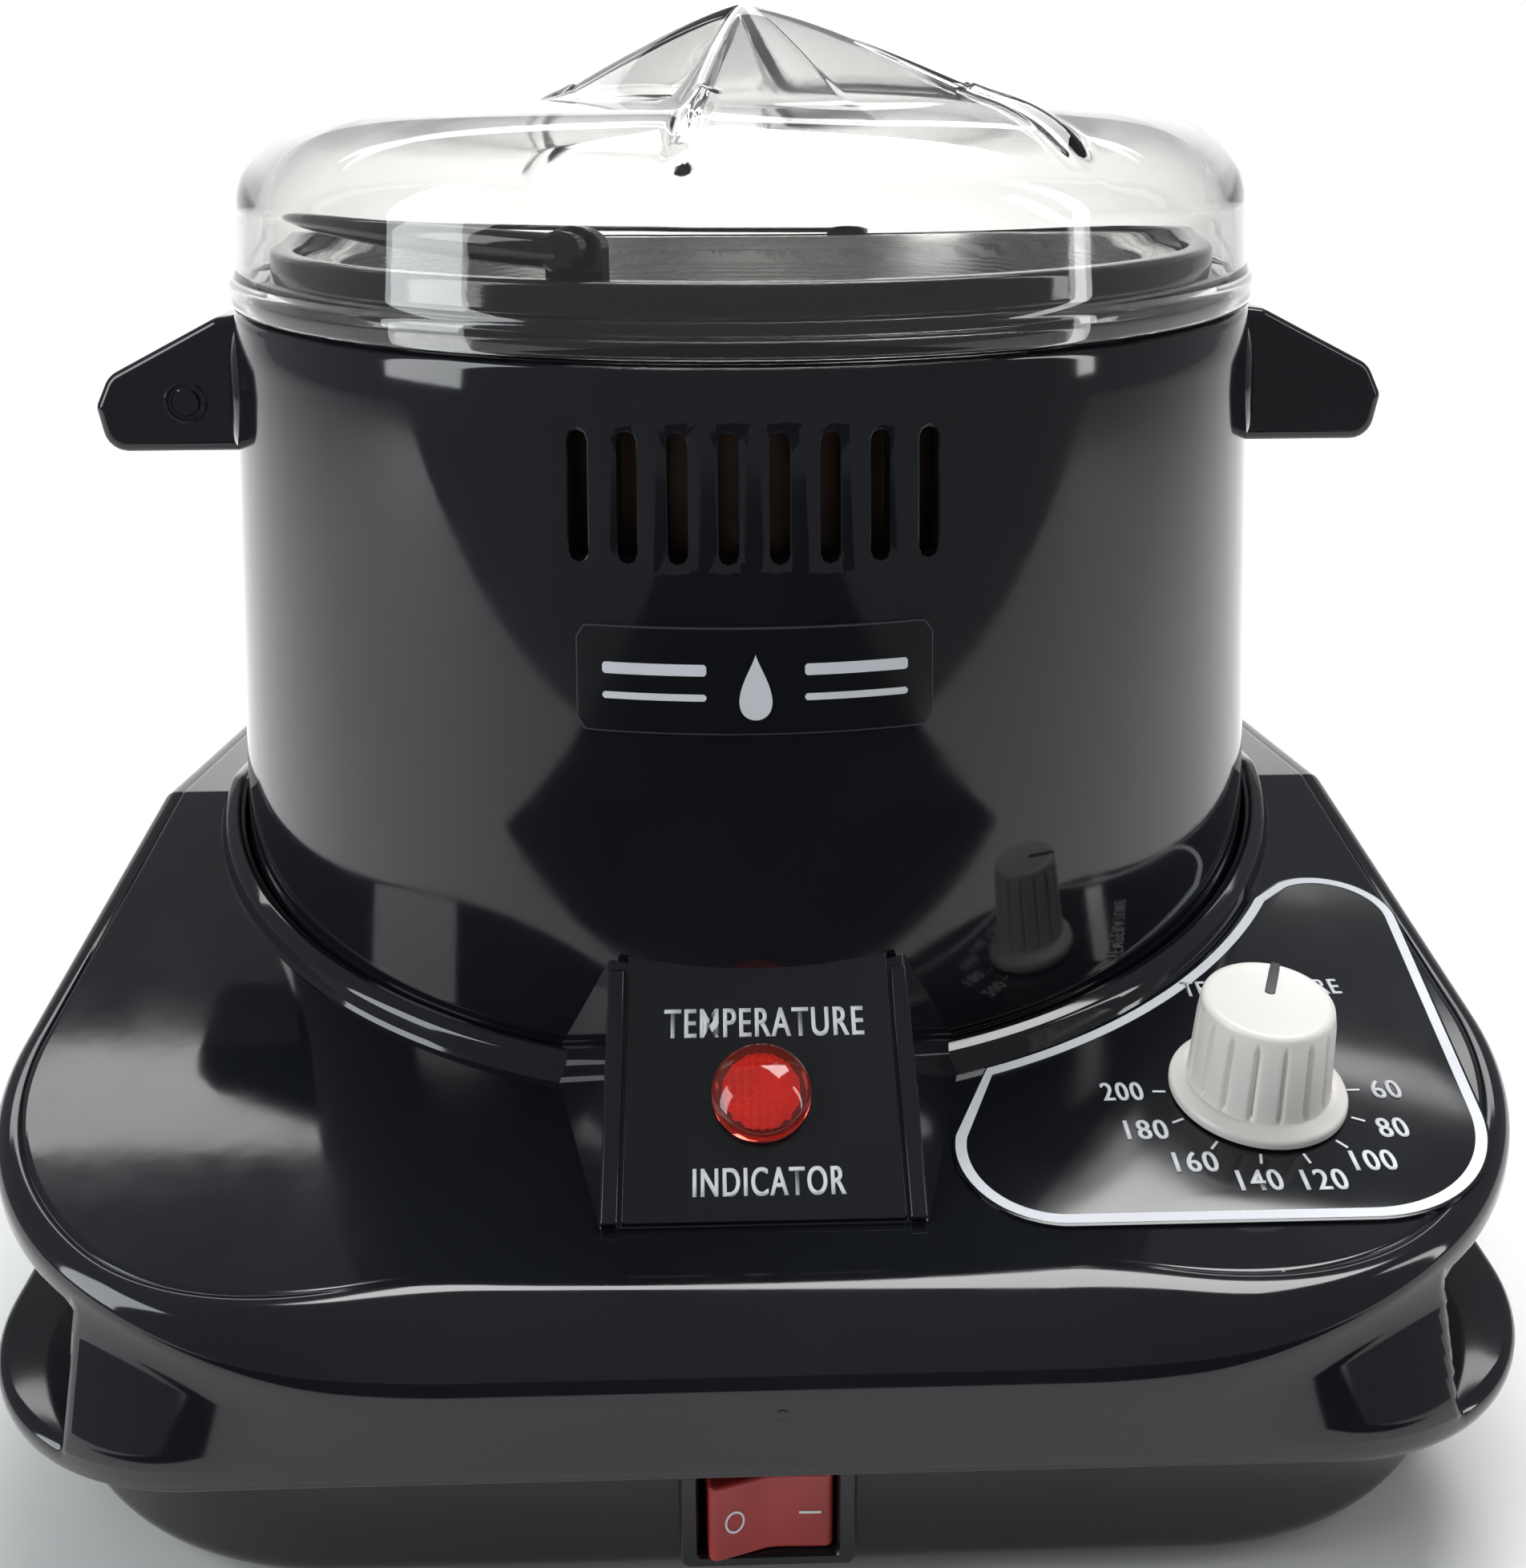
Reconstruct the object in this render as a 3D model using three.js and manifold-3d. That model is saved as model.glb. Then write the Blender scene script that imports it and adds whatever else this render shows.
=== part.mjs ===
// Electric wax warmer pot: a removable wax container under a clear lid, in a heated casing on a wide base.
// Millimetres, +Z up. The origin is on the ground under the middle of the whole object; the front faces -Y.

import * as THREE from 'three';
import { ConvexGeometry } from 'three/addons/geometries/ConvexGeometry.js';
import { mergeVertices } from 'three/addons/utils/BufferGeometryUtils.js';
import Module from 'manifold-3d';

const wasm = await Module();
wasm.setup();

// ---- driving dimensions -------------------------------------------------------------------------

const GAP = 0.3;                  // clearance between pieces that rest on each other
const WALL = 2.6;                 // plastic wall thickness

// The pot's axis stands in front of the middle of the base, so the whole object is moved back by this much.
const POT_OFFSET_Y = 18;

// Base pan and base cover. A plan is a rounded rectangle: half width, front, back and corner radius.
const PAN_PLAN = { half: 95.5, front: -121, back: 87, radius: 44 };
const FLANGE_PLAN = { half: 95.5, front: -129, back: 90, radius: 30 };
const HOLLOW_PLAN = { half: 80, front: -129, back: 87, radius: 30 };
const DECK_PLAN = { half: 101.3, front: -129, back: 93, radius: 54 };
const PAN_BOTTOM = 3;
const PAN_TOP = 23.7;
const PAN_EDGE = 4;
const RIM_FLANGE = 9;             // how far the pan's upper flange reaches inward
const COVER_BOTTOM = PAN_TOP + GAP;
const FLANGE_HEIGHT = 3.6;        // the foot flange that stays outside the recessed sides
const RECESS_X = 80;              // the cover's side walls are set back to here, as grips for lifting
const DECK_SLOPE = Math.tan(THREE.MathUtils.degToRad(7));
const RIDGE_Y = -9;               // the deck falls to the front and to the back from this cross line
const RIDGE_Z = 58.4;
const SIDE_EDGE = 2.5;            // edge rounding of the deck along the sides and back
const FRONT_EDGE = 9;             // edge rounding of the deck in the middle of the front
const LIP_DROP = 2.2;             // straight height of the deck's lip below its rounding
const BOSS_RADIUS = 4;

// Casing
const RIM_Z = 144;                // the lid's lower edge
const CASING_BOTTOM = 44;
const CASING_TOP = RIM_Z - 0.4;
const CASING_RIM_RADIUS = 81.5;
const CASING_DRAFT = 0.0506;      // radius gained per millimetre downward
const CASING_MOUTH_RADIUS = 76;
const BORE_RADIUS = 86.9;         // hole in the cover that the casing stands in
const SLOT_COUNT = 8;
const SLOT_PITCH = THREE.MathUtils.degToRad(4.43);
const SLOT_WIDTH = 2.5;
const SLOT_LOW = 118.6;
const SLOT_HIGH = 135.3;

// Side handles
const HANDLE_DEPTH = 19;
const HANDLE_TIP_X = 106;

// Heater and wax container
const WELL_RADIUS = 68;
const WELL_WALL = 1.4;
const WELL_BOTTOM = 62;
const WELL_RIM_RADIUS = CASING_MOUTH_RADIUS - GAP;
const CONTAINER_RADIUS = 65.8;
const CONTAINER_WALL = 1;
const CONTAINER_BOTTOM = 66;
const CONTAINER_RIM_Z = 150.8;
const CONTAINER_RIM_THICKNESS = 1.2;
const BAIL_RADIUS = 71;
const BAIL_WIRE = 2.3;
const BAIL_PIVOT_Z = 156.2;
const BAIL_AZIMUTH = THREE.MathUtils.degToRad(-19.5);   // the pivot axis, turned from straight ahead
const BAIL_REST_TILT = THREE.MathUtils.degToRad(3);
const PIN_RADIUS = 1.4;

// Lid. Radii of the outer surface.
const LID_RADIUS = 81.6;
const LID_WALL = 1.8;
const LID_SHOULDER_RADIUS = 80;   // the shoulder is an oval quarter round between these radii and heights
const LID_CROWN_RADIUS = 58;
const LID_SHOULDER_Z = 16.3;      // heights above the rim
const LID_TOP_Z = 29.3;
const GRIP_APEX_Z = 44.8;
const CREST_FILLET = 1.1;
const FOOT_FILLET = 2.2;           // where the grip runs into the round top
const GRIP_TURN = THREE.MathUtils.degToRad(14);
const GRIP_SPREAD = THREE.MathUtils.degToRad(20.5);

// Dial, knob and indicator
const DIAL_X = 65;
const DIAL_Y = -91.8;
const KNOB_HEIGHT = 15.3;
const KNOB_FLANGE_RADIUS = 11.35;
const KNOB_FLUTES = 16;
const POINTER_TURN = THREE.MathUtils.degToRad(23);      // clockwise from straight back, at "off"
const PANEL_LOW = { y: -113, half: 17.3 };
const PANEL_HIGH = { y: -84.5, z: 64.2 };
const LAMP_RADIUS = 6.2;

// Rocker switch, panel size 21 by 14.4
const SWITCH_Z = 13.5;
const ROCKER_TILT = THREE.MathUtils.degToRad(8);

const ROUND = 48;                 // segments of the large turned pieces
const SMALL_ROUND = 16;

// ---- colours ------------------------------------------------------------------------------------

const paint = {
  gloss: { color: 0x14161a, roughness: 0.12, metalness: 0 },
  black: { color: 0x1b1c1e, roughness: 0.45, metalness: 0 },
  clear: { color: 0xdcdfdd, roughness: 0.05, metalness: 0, transparent: true, opacity: 0.3 },
  white: { color: 0xebe8e2, roughness: 0.35, metalness: 0 },
  label: { color: 0x101114, roughness: 0.3, metalness: 0 },
  lamp: { color: 0xd8321f, roughness: 0.1, metalness: 0, transparent: true, opacity: 0.8 },
  rocker: { color: 0xb04442, roughness: 0.25, metalness: 0 },
  steel: { color: 0xa9abad, roughness: 0.3, metalness: 1 },
  aluminium: { color: 0xb9bbbd, roughness: 0.35, metalness: 1 },
  brass: { color: 0xb08d4a, roughness: 0.4, metalness: 1 },
  mica: { color: 0x9c8465, roughness: 0.8, metalness: 0 },
  ceramic: { color: 0xe2ddd0, roughness: 0.7, metalness: 0 },
  rubber: { color: 0x17181a, roughness: 0.9, metalness: 0 },
};

const group = new THREE.Group();

function addPiece(name, geometry, look, parent = group) {
  const mesh = new THREE.Mesh(geometry, new THREE.MeshStandardMaterial(paint[look]));
  mesh.name = name;
  parent.add(mesh);
  return mesh;
}

// ---- joining and cutting ------------------------------------------------------------------------

const WELD = 1e-4;

function signedVolume(positions, triangles) {
  const a = new THREE.Vector3();
  const b = new THREE.Vector3();
  const c = new THREE.Vector3();
  let total = 0;
  for (let i = 0; i < triangles.length; i += 3) {
    a.fromArray(positions, triangles[i] * 3);
    b.fromArray(positions, triangles[i + 1] * 3);
    c.fromArray(positions, triangles[i + 2] * 3);
    total += a.dot(b.cross(c)) / 6;
  }
  return total;
}

// Welds a geometry into one closed shell with its faces pointing out.
function weld(geometry) {
  const bare = geometry.clone();
  bare.deleteAttribute('normal');
  bare.deleteAttribute('uv');
  const merged = mergeVertices(bare, WELD);
  const positions = merged.attributes.position.array;
  const corners = merged.index.array;
  const triangles = [];
  for (let i = 0; i < corners.length; i += 3) {
    const [a, b, c] = [corners[i], corners[i + 1], corners[i + 2]];
    if (a !== b && b !== c && c !== a) triangles.push(a, b, c);
  }
  if (signedVolume(positions, triangles) < 0) triangles.reverse();
  return { positions, triangles };
}

function closed(geometry) {
  const { positions, triangles } = weld(geometry);
  const result = new THREE.BufferGeometry();
  result.setAttribute('position', new THREE.BufferAttribute(new Float32Array(positions), 3));
  result.setIndex(triangles);
  result.computeVertexNormals();
  return result;
}

function toSolid(geometry) {
  const { positions, triangles } = weld(geometry);
  return new wasm.Manifold(new wasm.Mesh({
    numProp: 3,
    vertProperties: new Float32Array(positions),
    triVerts: new Uint32Array(triangles),
  }));
}

function fromSolid(solid) {
  const mesh = solid.getMesh();
  const result = new THREE.BufferGeometry();
  result.setAttribute('position', new THREE.BufferAttribute(new Float32Array(mesh.vertProperties), 3));
  result.setIndex(new THREE.BufferAttribute(new Uint32Array(mesh.triVerts), 1));
  result.computeVertexNormals();
  return result;
}

function join(first, ...others) {
  return fromSolid(others.reduce((sum, next) => sum.add(toSolid(next)), toSolid(first)));
}

function cut(first, ...others) {
  return fromSolid(others.reduce((rest, next) => rest.subtract(toSolid(next)), toSolid(first)));
}

function common(first, second) {
  return fromSolid(toSolid(first).intersect(toSolid(second)));
}

// ---- basic shapes -------------------------------------------------------------------------------

// Turns a closed profile of [radius, height] pairs about the Z axis.
function turned(profile, segments = ROUND) {
  const points = profile.map(([radius, height]) => new THREE.Vector2(radius, height));
  if (profile[0][0] > 0) points.push(points[0].clone());
  return closed(new THREE.LatheGeometry(points, segments).rotateX(Math.PI / 2));
}

function disc(radius, height, z = 0, segments = SMALL_ROUND) {
  return new THREE.CylinderGeometry(radius, radius, height, segments).rotateX(Math.PI / 2)
    .translate(0, 0, z + height / 2);
}

function block(width, depth, height, z = 0) {
  return new THREE.BoxGeometry(width, depth, height).translate(0, 0, z + height / 2);
}

function plate(shape, height, z = 0, curveSegments = 8) {
  return new THREE.ExtrudeGeometry(shape, { depth: height, bevelEnabled: false, curveSegments })
    .translate(0, 0, z);
}

function polygon(points) {
  return new THREE.Shape(points.map(([x, y]) => new THREE.Vector2(x, y)));
}

// A closed solid through a stack of rings with equal numbers of [x, y, z] points, closed by two fans.
function lofted(rings, low, high) {
  const count = rings[0].length;
  const positions = [...rings.flat(2), ...low, ...high];
  const lowCentre = rings.length * count;
  const index = [];
  for (let i = 0; i < count; i += 1) {
    const next = (i + 1) % count;
    index.push(lowCentre, next, i);
    for (let k = 0; k + 1 < rings.length; k += 1) {
      const a = k * count;
      const b = a + count;
      index.push(a + i, a + next, b + next, a + i, b + next, b + i);
    }
    const last = (rings.length - 1) * count;
    index.push(lowCentre + 1, last + i, last + next);
  }
  const result = new THREE.BufferGeometry();
  result.setAttribute('position', new THREE.Float32BufferAttribute(positions, 3));
  result.setIndex(index);
  return closed(result);
}

// ---- the base -----------------------------------------------------------------------------------

function deckHeight(y) {
  return RIDGE_Z - DECK_SLOPE * Math.abs(y - RIDGE_Y);
}

// The rounding grows from the front corners to the middle of the front.
function deckEdge(x, y) {
  const forward = THREE.MathUtils.smoothstep(-y, 98, 110);
  const middle = 1 - THREE.MathUtils.smoothstep(Math.abs(x), 35, 82);
  return SIDE_EDGE + (FRONT_EDGE - SIDE_EDGE) * forward * middle;
}

// Points round a plan, moved inward, with a point on each side where the deck's ridge crosses it.
function planPoints(plan, inset = 0, steps = 7) {
  const x = plan.half - plan.radius;
  const corners = [
    [x, plan.front + plan.radius, -90], [x, plan.back - plan.radius, 0],
    [-x, plan.back - plan.radius, 90], [-x, plan.front + plan.radius, 180],
  ];
  const points = [];
  corners.forEach(([cx, cy, start], corner) => {
    for (let i = 0; i <= steps; i += 1) {
      const angle = THREE.MathUtils.degToRad(start + (90 * i) / steps);
      points.push([cx + (plan.radius - inset) * Math.cos(angle), cy + (plan.radius - inset) * Math.sin(angle)]);
    }
    if (corner === 0) points.push([plan.half - inset, RIDGE_Y]);
    if (corner === 2) points.push([-plan.half + inset, RIDGE_Y]);
  });
  return points;
}

// Rings that roll from a plan's upright edge over to the sloped deck, sunk below it.
function rolledRings(plan, inset, sink, lowest) {
  const turns = [0, 30, 60, 90].map(THREE.MathUtils.degToRad);
  const rolled = turns.map((turn) => planPoints(plan, inset).map(([x, y], i) => {
    const edge = Math.max(deckEdge(x, y) - inset, 1);
    const [px, py] = planPoints(plan, inset + edge * (1 - Math.cos(turn)))[i];
    return [px, py, deckHeight(py) - sink - edge * (1 - Math.sin(turn))];
  }));
  const foot = planPoints(plan, inset).map(([x, y]) => [x, y, lowest(x, y)]);
  return [foot, ...rolled];
}

function deckSlab() {
  const rings = rolledRings(DECK_PLAN, 0, 0, (x, y) => deckHeight(y) - deckEdge(x, y) - LIP_DROP);
  return lofted(rings, [0, RIDGE_Y, RIDGE_Z - SIDE_EDGE - LIP_DROP], [0, RIDGE_Y, RIDGE_Z]);
}

// The wall under the deck flares from the lip's outline to the flange's outline.
function skirtWall() {
  const low = planPoints(FLANGE_PLAN).map(([x, y]) => [x, y, COVER_BOTTOM]);
  const shelf = planPoints(FLANGE_PLAN).map(([x, y]) => [x, y, COVER_BOTTOM + FLANGE_HEIGHT]);
  const high = planPoints(DECK_PLAN, 0.05).map(([x, y]) => [x, y, deckHeight(y) - deckEdge(x, y) - 1]);
  return lofted([low, shelf, high], [0, RIDGE_Y, COVER_BOTTOM], [0, RIDGE_Y, RIDGE_Z - SIDE_EDGE - 1]);
}

// The space beside a recessed side wall, between the flange and the deck's overhang.
function sideRecess(side) {
  const overhang = SIDE_EDGE + LIP_DROP;
  const front = DECK_PLAN.front - 5;
  const back = DECK_PLAN.back + 5;
  const section = polygon([
    [front, COVER_BOTTOM + FLANGE_HEIGHT], [back, COVER_BOTTOM + FLANGE_HEIGHT],
    [back, deckHeight(back) - overhang], [RIDGE_Y, RIDGE_Z - overhang], [front, deckHeight(front) - overhang],
  ]);
  const space = plate(section, 40).rotateX(Math.PI / 2).rotateZ(Math.PI / 2);
  return space.translate(side > 0 ? RECESS_X : -RECESS_X - 40, 0, 0);
}

// The round wall under the deck that the casing stands in, where it bulges past the recessed sides.
function casingTower() {
  const radius = BORE_RADIUS + WALL;
  const spots = Array.from({ length: ROUND }, (unused, i) => {
    const angle = (2 * Math.PI * i) / ROUND;
    return [radius * Math.cos(angle), radius * Math.sin(angle)];
  });
  const low = spots.map(([x, y]) => [x, y, COVER_BOTTOM]);
  const high = spots.map(([x, y]) => [x, y, deckHeight(y) - 1]);
  return lofted([low, high], [0, 0, COVER_BOTTOM], [0, RIDGE_Y, RIDGE_Z - 1]);
}

function coverHollow() {
  const floor = COVER_BOTTOM + WALL;
  const rings = rolledRings(HOLLOW_PLAN, WALL, WALL, () => floor);
  return lofted(rings, [0, RIDGE_Y, floor], [0, RIDGE_Y, RIDGE_Z - WALL]);
}

function coverMouth() {
  return plate(polygon(planPoints(HOLLOW_PLAN, WALL + 4)), 2 * WALL, COVER_BOTTOM - WALL / 2);
}

// Lays geometry drawn on the level plane onto the sloped deck.
function draped(geometry) {
  const position = geometry.attributes.position;
  for (let i = 0; i < position.count; i += 1) {
    position.setZ(i, position.getZ(i) + deckHeight(position.getY(i)));
  }
  return geometry;
}

// The rounded bead round the casing's foot.
function footBead() {
  const inner = BORE_RADIUS - 1;
  return draped(turned([
    [inner, -2], [90.2, -2], [90.2, 0.2], [89.8, 1.6], [88.9, 2.7], [87.6, 3.2], [inner, 3.2],
  ]));
}

// Frame of the sloped indicator face: its origin is at the middle of the face's lower edge.
const panelLowZ = deckHeight(PANEL_LOW.y);
const panelAngle = Math.atan2(PANEL_HIGH.z - panelLowZ, PANEL_HIGH.y - PANEL_LOW.y);
const panelLength = Math.hypot(PANEL_HIGH.z - panelLowZ, PANEL_HIGH.y - PANEL_LOW.y);

function onPanel(geometry, along = 0, lift = 0, x = 0) {
  return geometry.translate(x, along, lift).rotateX(panelAngle).translate(0, PANEL_LOW.y, panelLowZ);
}

// The raised block under the indicator face, with sloped flanks, shrunk for its hollow.
function indicatorBlock(shrink = 0) {
  const back = PANEL_HIGH.y + 6;
  const backZ = PANEL_HIGH.z + 6 * Math.tan(panelAngle);
  const points = [];
  for (const side of [-1, 1]) {
    const face = side * (PANEL_LOW.half + 2.2 - shrink);
    points.push(new THREE.Vector3(face, back, backZ - 1.2 * shrink));
    points.push(new THREE.Vector3(face, PANEL_LOW.y + shrink, panelLowZ - 0.5 * shrink));
    points.push(new THREE.Vector3(side * (29 - shrink), back, deckHeight(back) - 1));
    points.push(new THREE.Vector3(face, PANEL_LOW.y + shrink, panelLowZ - 1 - shrink));
    points.push(new THREE.Vector3(side * (29 - shrink), back, deckHeight(back) - WALL - 1.5 * shrink));
  }
  return new ConvexGeometry(points);
}

function panelRib(side) {
  return onPanel(block(2.2, panelLength - 1, 2.2), panelLength / 2, -1, side * (PANEL_LOW.half + 1.1));
}

function onDial(geometry) {
  return geometry.rotateX(Math.atan(DECK_SLOPE)).translate(DIAL_X, DIAL_Y, deckHeight(DIAL_Y));
}

const SCREW_SPOTS = [[72, -72], [-72, -72], [72, 42], [-72, 42]];
const FOOT_SPOTS = [[60, -94], [-60, -94], [60, 60], [-60, 60]];
const lampAlong = panelLength * 0.47;

function makeCover() {
  const bosses = SCREW_SPOTS.map(([x, y]) => disc(BOSS_RADIUS, deckHeight(y) - 9, 7).translate(x, y, 0));
  const skirt = cut(skirtWall(), sideRecess(-1), sideRecess(1));
  const body = join(deckSlab(), skirt, casingTower(), footBead(), indicatorBlock());
  const hollowed = cut(body, coverHollow(), coverMouth(), indicatorBlock(WALL));
  const fitted = join(hollowed, ...bosses, panelRib(-1), panelRib(1));
  const screwHoles = SCREW_SPOTS.map(([x, y]) => disc(1.75, 20, 5).translate(x, y, 0));
  return cut(
    fitted,
    disc(BORE_RADIUS, 60, 30, ROUND),
    onDial(disc(3.6, 20, -12)),
    onPanel(disc(5.4, 40, -30), lampAlong),
    ...screwHoles,
  );
}

function makePan() {
  const turns = [0, 30, 60, 90].map(THREE.MathUtils.degToRad);
  const rings = turns.map((turn) => planPoints(PAN_PLAN, PAN_EDGE * (1 - Math.sin(turn)))
    .map(([x, y]) => [x, y, PAN_BOTTOM + PAN_EDGE * (1 - Math.cos(turn))]));
  rings.push(planPoints(PAN_PLAN).map(([x, y]) => [x, y, PAN_TOP]));
  const outer = lofted(rings, [0, 0, PAN_BOTTOM], [0, 0, PAN_TOP]);
  const hollow = plate(polygon(planPoints(PAN_PLAN, WALL)), PAN_TOP - PAN_BOTTOM - 2 * WALL, PAN_BOTTOM + WALL);
  const mouth = plate(polygon(planPoints(PAN_PLAN, RIM_FLANGE)), 3 * WALL, PAN_TOP - 2 * WALL);
  const switchHole = block(19.2, 12, 13.2, SWITCH_Z - 6.6).translate(0, PAN_PLAN.front + 4, 0);
  const glandHole = disc(5.3, 12, 0).rotateX(-Math.PI / 2).translate(0, PAN_PLAN.back - 8, SWITCH_Z);
  const screwHoles = SCREW_SPOTS.map(([x, y]) => disc(1.8, 6, 1.5).translate(x, y, 0));
  const footHoles = FOOT_SPOTS.map(([x, y]) => disc(2.6, 6, 1.5).translate(x, y, 0));
  return cut(outer, hollow, mouth, switchHole, glandHole, ...screwHoles, ...footHoles);
}

function addBase() {
  addPiece('base_pan', makePan(), 'black');
  addPiece('base_cover', makeCover(), 'gloss');
  const names = ['front_right', 'front_left', 'back_right', 'back_left'];
  names.forEach((name, i) => {
    const foot = join(disc(7, PAN_BOTTOM - GAP), disc(2.2, 4, PAN_BOTTOM - 1));
    addPiece(`foot_${name}`, foot, 'rubber').position.set(...FOOT_SPOTS[i], 0);
    const screw = join(disc(3, 1.6, PAN_BOTTOM - GAP - 1.6), disc(1.4, 17, PAN_BOTTOM - 1));
    addPiece(`base_screw_${name}`, screw, 'steel').position.set(...SCREW_SPOTS[i], 0);
  });
}

// ---- casing, collar and handles -----------------------------------------------------------------

function casingRadius(z) {
  return CASING_RIM_RADIUS + CASING_DRAFT * (RIM_Z - z);
}

// Places geometry drawn on the XZ plane's front onto the casing at an angle from straight ahead.
function round(geometry, azimuth) {
  return geometry.rotateZ(azimuth);
}

function ventSlot(azimuth) {
  const radius = SLOT_WIDTH / 2;
  const shape = new THREE.Shape();
  shape.absarc(0, SLOT_HIGH - radius, radius, 0, Math.PI, false);
  shape.absarc(0, SLOT_LOW + radius, radius, Math.PI, 2 * Math.PI, false);
  const slot = plate(shape, 12, 0, 4).rotateX(Math.PI / 2).translate(0, -74, 0);
  return round(slot, azimuth);
}

function makeCasing() {
  const shell = turned([
    [casingRadius(CASING_BOTTOM), CASING_BOTTOM],
    [casingRadius(CASING_TOP - 1.5), CASING_TOP - 1.5],
    [CASING_RIM_RADIUS - 0.5, CASING_TOP - 0.4],
    [CASING_RIM_RADIUS - 1.5, CASING_TOP],
    [CASING_MOUTH_RADIUS, CASING_TOP],
    [CASING_MOUTH_RADIUS, CASING_TOP - WALL],
    [CASING_RIM_RADIUS - WALL, CASING_TOP - WALL],
    [casingRadius(CASING_BOTTOM) - WALL, CASING_BOTTOM],
  ]);
  const slots = [];
  for (let i = 0; i < SLOT_COUNT; i += 1) slots.push(ventSlot((i - (SLOT_COUNT - 1) / 2) * SLOT_PITCH));
  return cut(shell, ...slots);
}

// The stepped ring that hangs the container's rim on the casing's mouth, and lifts out with it.
function makeCollar() {
  const foot = CASING_TOP + GAP;
  const shelf = CONTAINER_RIM_Z - CONTAINER_RIM_THICKNESS - GAP;
  return turned([
    [69.8, foot], [78.7, foot], [78.7, foot + 2], [77.4, foot + 2.6], [77.4, foot + 3.6],
    [75.5, foot + 4.2], [75.5, RIM_Z + 8.4], [75.1, RIM_Z + 8.8], [72.2, RIM_Z + 8.8],
    [71.8, RIM_Z + 8.4], [71.8, shelf], [69.8, shelf],
  ]);
}

// Side handle: a wedge on a curved pad that follows the casing. side is +1 on the right.
function makeHandle(side) {
  const tip = HANDLE_TIP_X;
  const outline = new THREE.Shape();
  outline.moveTo(76, RIM_Z - 2.4);
  outline.lineTo(85.5, RIM_Z - 3.6);
  outline.lineTo(tip - 3, RIM_Z - 12.8);
  outline.quadraticCurveTo(tip, RIM_Z - 14.4, tip, RIM_Z - 18);
  outline.lineTo(tip - 1.2, RIM_Z - 23);
  outline.quadraticCurveTo(tip - 2, RIM_Z - 25.6, tip - 5, RIM_Z - 25.6);
  outline.lineTo(76, RIM_Z - 25.6);
  const bevel = 2;
  const wedge = new THREE.ExtrudeGeometry(outline, {
    depth: HANDLE_DEPTH - 2 * bevel, bevelThickness: bevel, bevelSize: bevel, bevelOffset: -bevel,
    bevelSegments: 2, curveSegments: 4,
  }).translate(0, 0, -HANDLE_DEPTH / 2 + bevel).rotateX(Math.PI / 2);
  const bodySpace = turned([
    [0, 100], [casingRadius(100) + GAP, 100], [casingRadius(RIM_Z) + GAP, RIM_Z], [0, RIM_Z],
  ]);
  const padRing = turned([
    [80, RIM_Z - 25.8], [casingRadius(RIM_Z - 25.8) + 2, RIM_Z - 25.8],
    [casingRadius(RIM_Z - 3) + 2, RIM_Z - 3], [80, RIM_Z - 3],
  ]);
  const padShape = new THREE.Shape();
  padShape.absellipse(0, RIM_Z - 14.2, 27, 11.4, 0, 2 * Math.PI);
  const padBlock = plate(padShape, 60, 60, 8).rotateX(Math.PI / 2).rotateZ(Math.PI / 2);
  const whole = cut(join(wedge, common(padRing, padBlock)), bodySpace);
  return side > 0 ? whole : closed(whole.applyMatrix4(new THREE.Matrix4().makeScale(-1, 1, 1)));
}

const PLUG = { x: 91, z: RIM_Z - 17.2, radius: 3 };

function plugHole() {
  return disc(PLUG.radius + 0.25, 3, 0, 24).rotateX(Math.PI / 2)
    .translate(-PLUG.x, -HANDLE_DEPTH / 2 + 2, PLUG.z);
}

function addCasing() {
  addPiece('outer_casing', makeCasing(), 'gloss');
  addPiece('handle_right', makeHandle(1), 'gloss');
  addPiece('handle_left', cut(makeHandle(-1), plugHole()), 'gloss');
  const plug = addPiece('handle_plug', disc(PLUG.radius, 1.2, 0, 24), 'gloss');
  plug.rotation.x = Math.PI / 2;
  plug.position.set(-PLUG.x, -HANDLE_DEPTH / 2 + 1.6, PLUG.z);
  addPiece('name_plate', makeNamePlate(), 'label');
}

// A thin blank plate that follows the casing's front.
function makeNamePlate() {
  const low = 96.7;
  const high = 110.7;
  const sheet = turned([
    [casingRadius(low) + GAP, low], [casingRadius(low) + GAP + 0.4, low],
    [casingRadius(high) + GAP + 0.4, high], [casingRadius(high) + GAP, high],
  ], 96);
  return common(sheet, block(46, 60, 40, 90).translate(0, -80, 0));
}

// ---- heater, container and bail -----------------------------------------------------------------

function cup(outer, wall, bottom, rimRadius, rimZ, rimThickness) {
  return turned([
    [0, bottom], [outer - 3, bottom], [outer, bottom + 3], [outer, rimZ - rimThickness],
    [rimRadius, rimZ - rimThickness], [rimRadius, rimZ], [outer - wall, rimZ],
    [outer - wall, bottom + 3.4], [outer - wall - 2.4, bottom + wall], [0, bottom + wall],
  ]);
}

function ring(inner, outer, low, high, segments = ROUND) {
  return turned([[inner, low], [outer, low], [outer, high], [inner, high]], segments);
}

function hexNut(hole, across, low, high) {
  return cut(disc(across, high - low, low, 6), disc(hole, high - low + 2, low - 1));
}

function addHeater() {
  addPiece('heater_well', cup(WELL_RADIUS, WELL_WALL, WELL_BOTTOM, WELL_RIM_RADIUS, CASING_TOP, 1.2), 'aluminium');
  addPiece('band_heater', ring(WELL_RADIUS + GAP, WELL_RADIUS + 2.8, 74, 112, 40), 'mica');
  addPiece('insulation_sleeve', ring(WELL_RADIUS + 3.1, WELL_RADIUS + 8, 72, 140, 40), 'ceramic');
  const cutout = addPiece('thermal_cutout', join(disc(7, 6, -6.3), block(16, 6, 2.4, -6.3)), 'ceramic');
  cutout.position.set(0, 0, WELL_BOTTOM);
}

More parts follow.
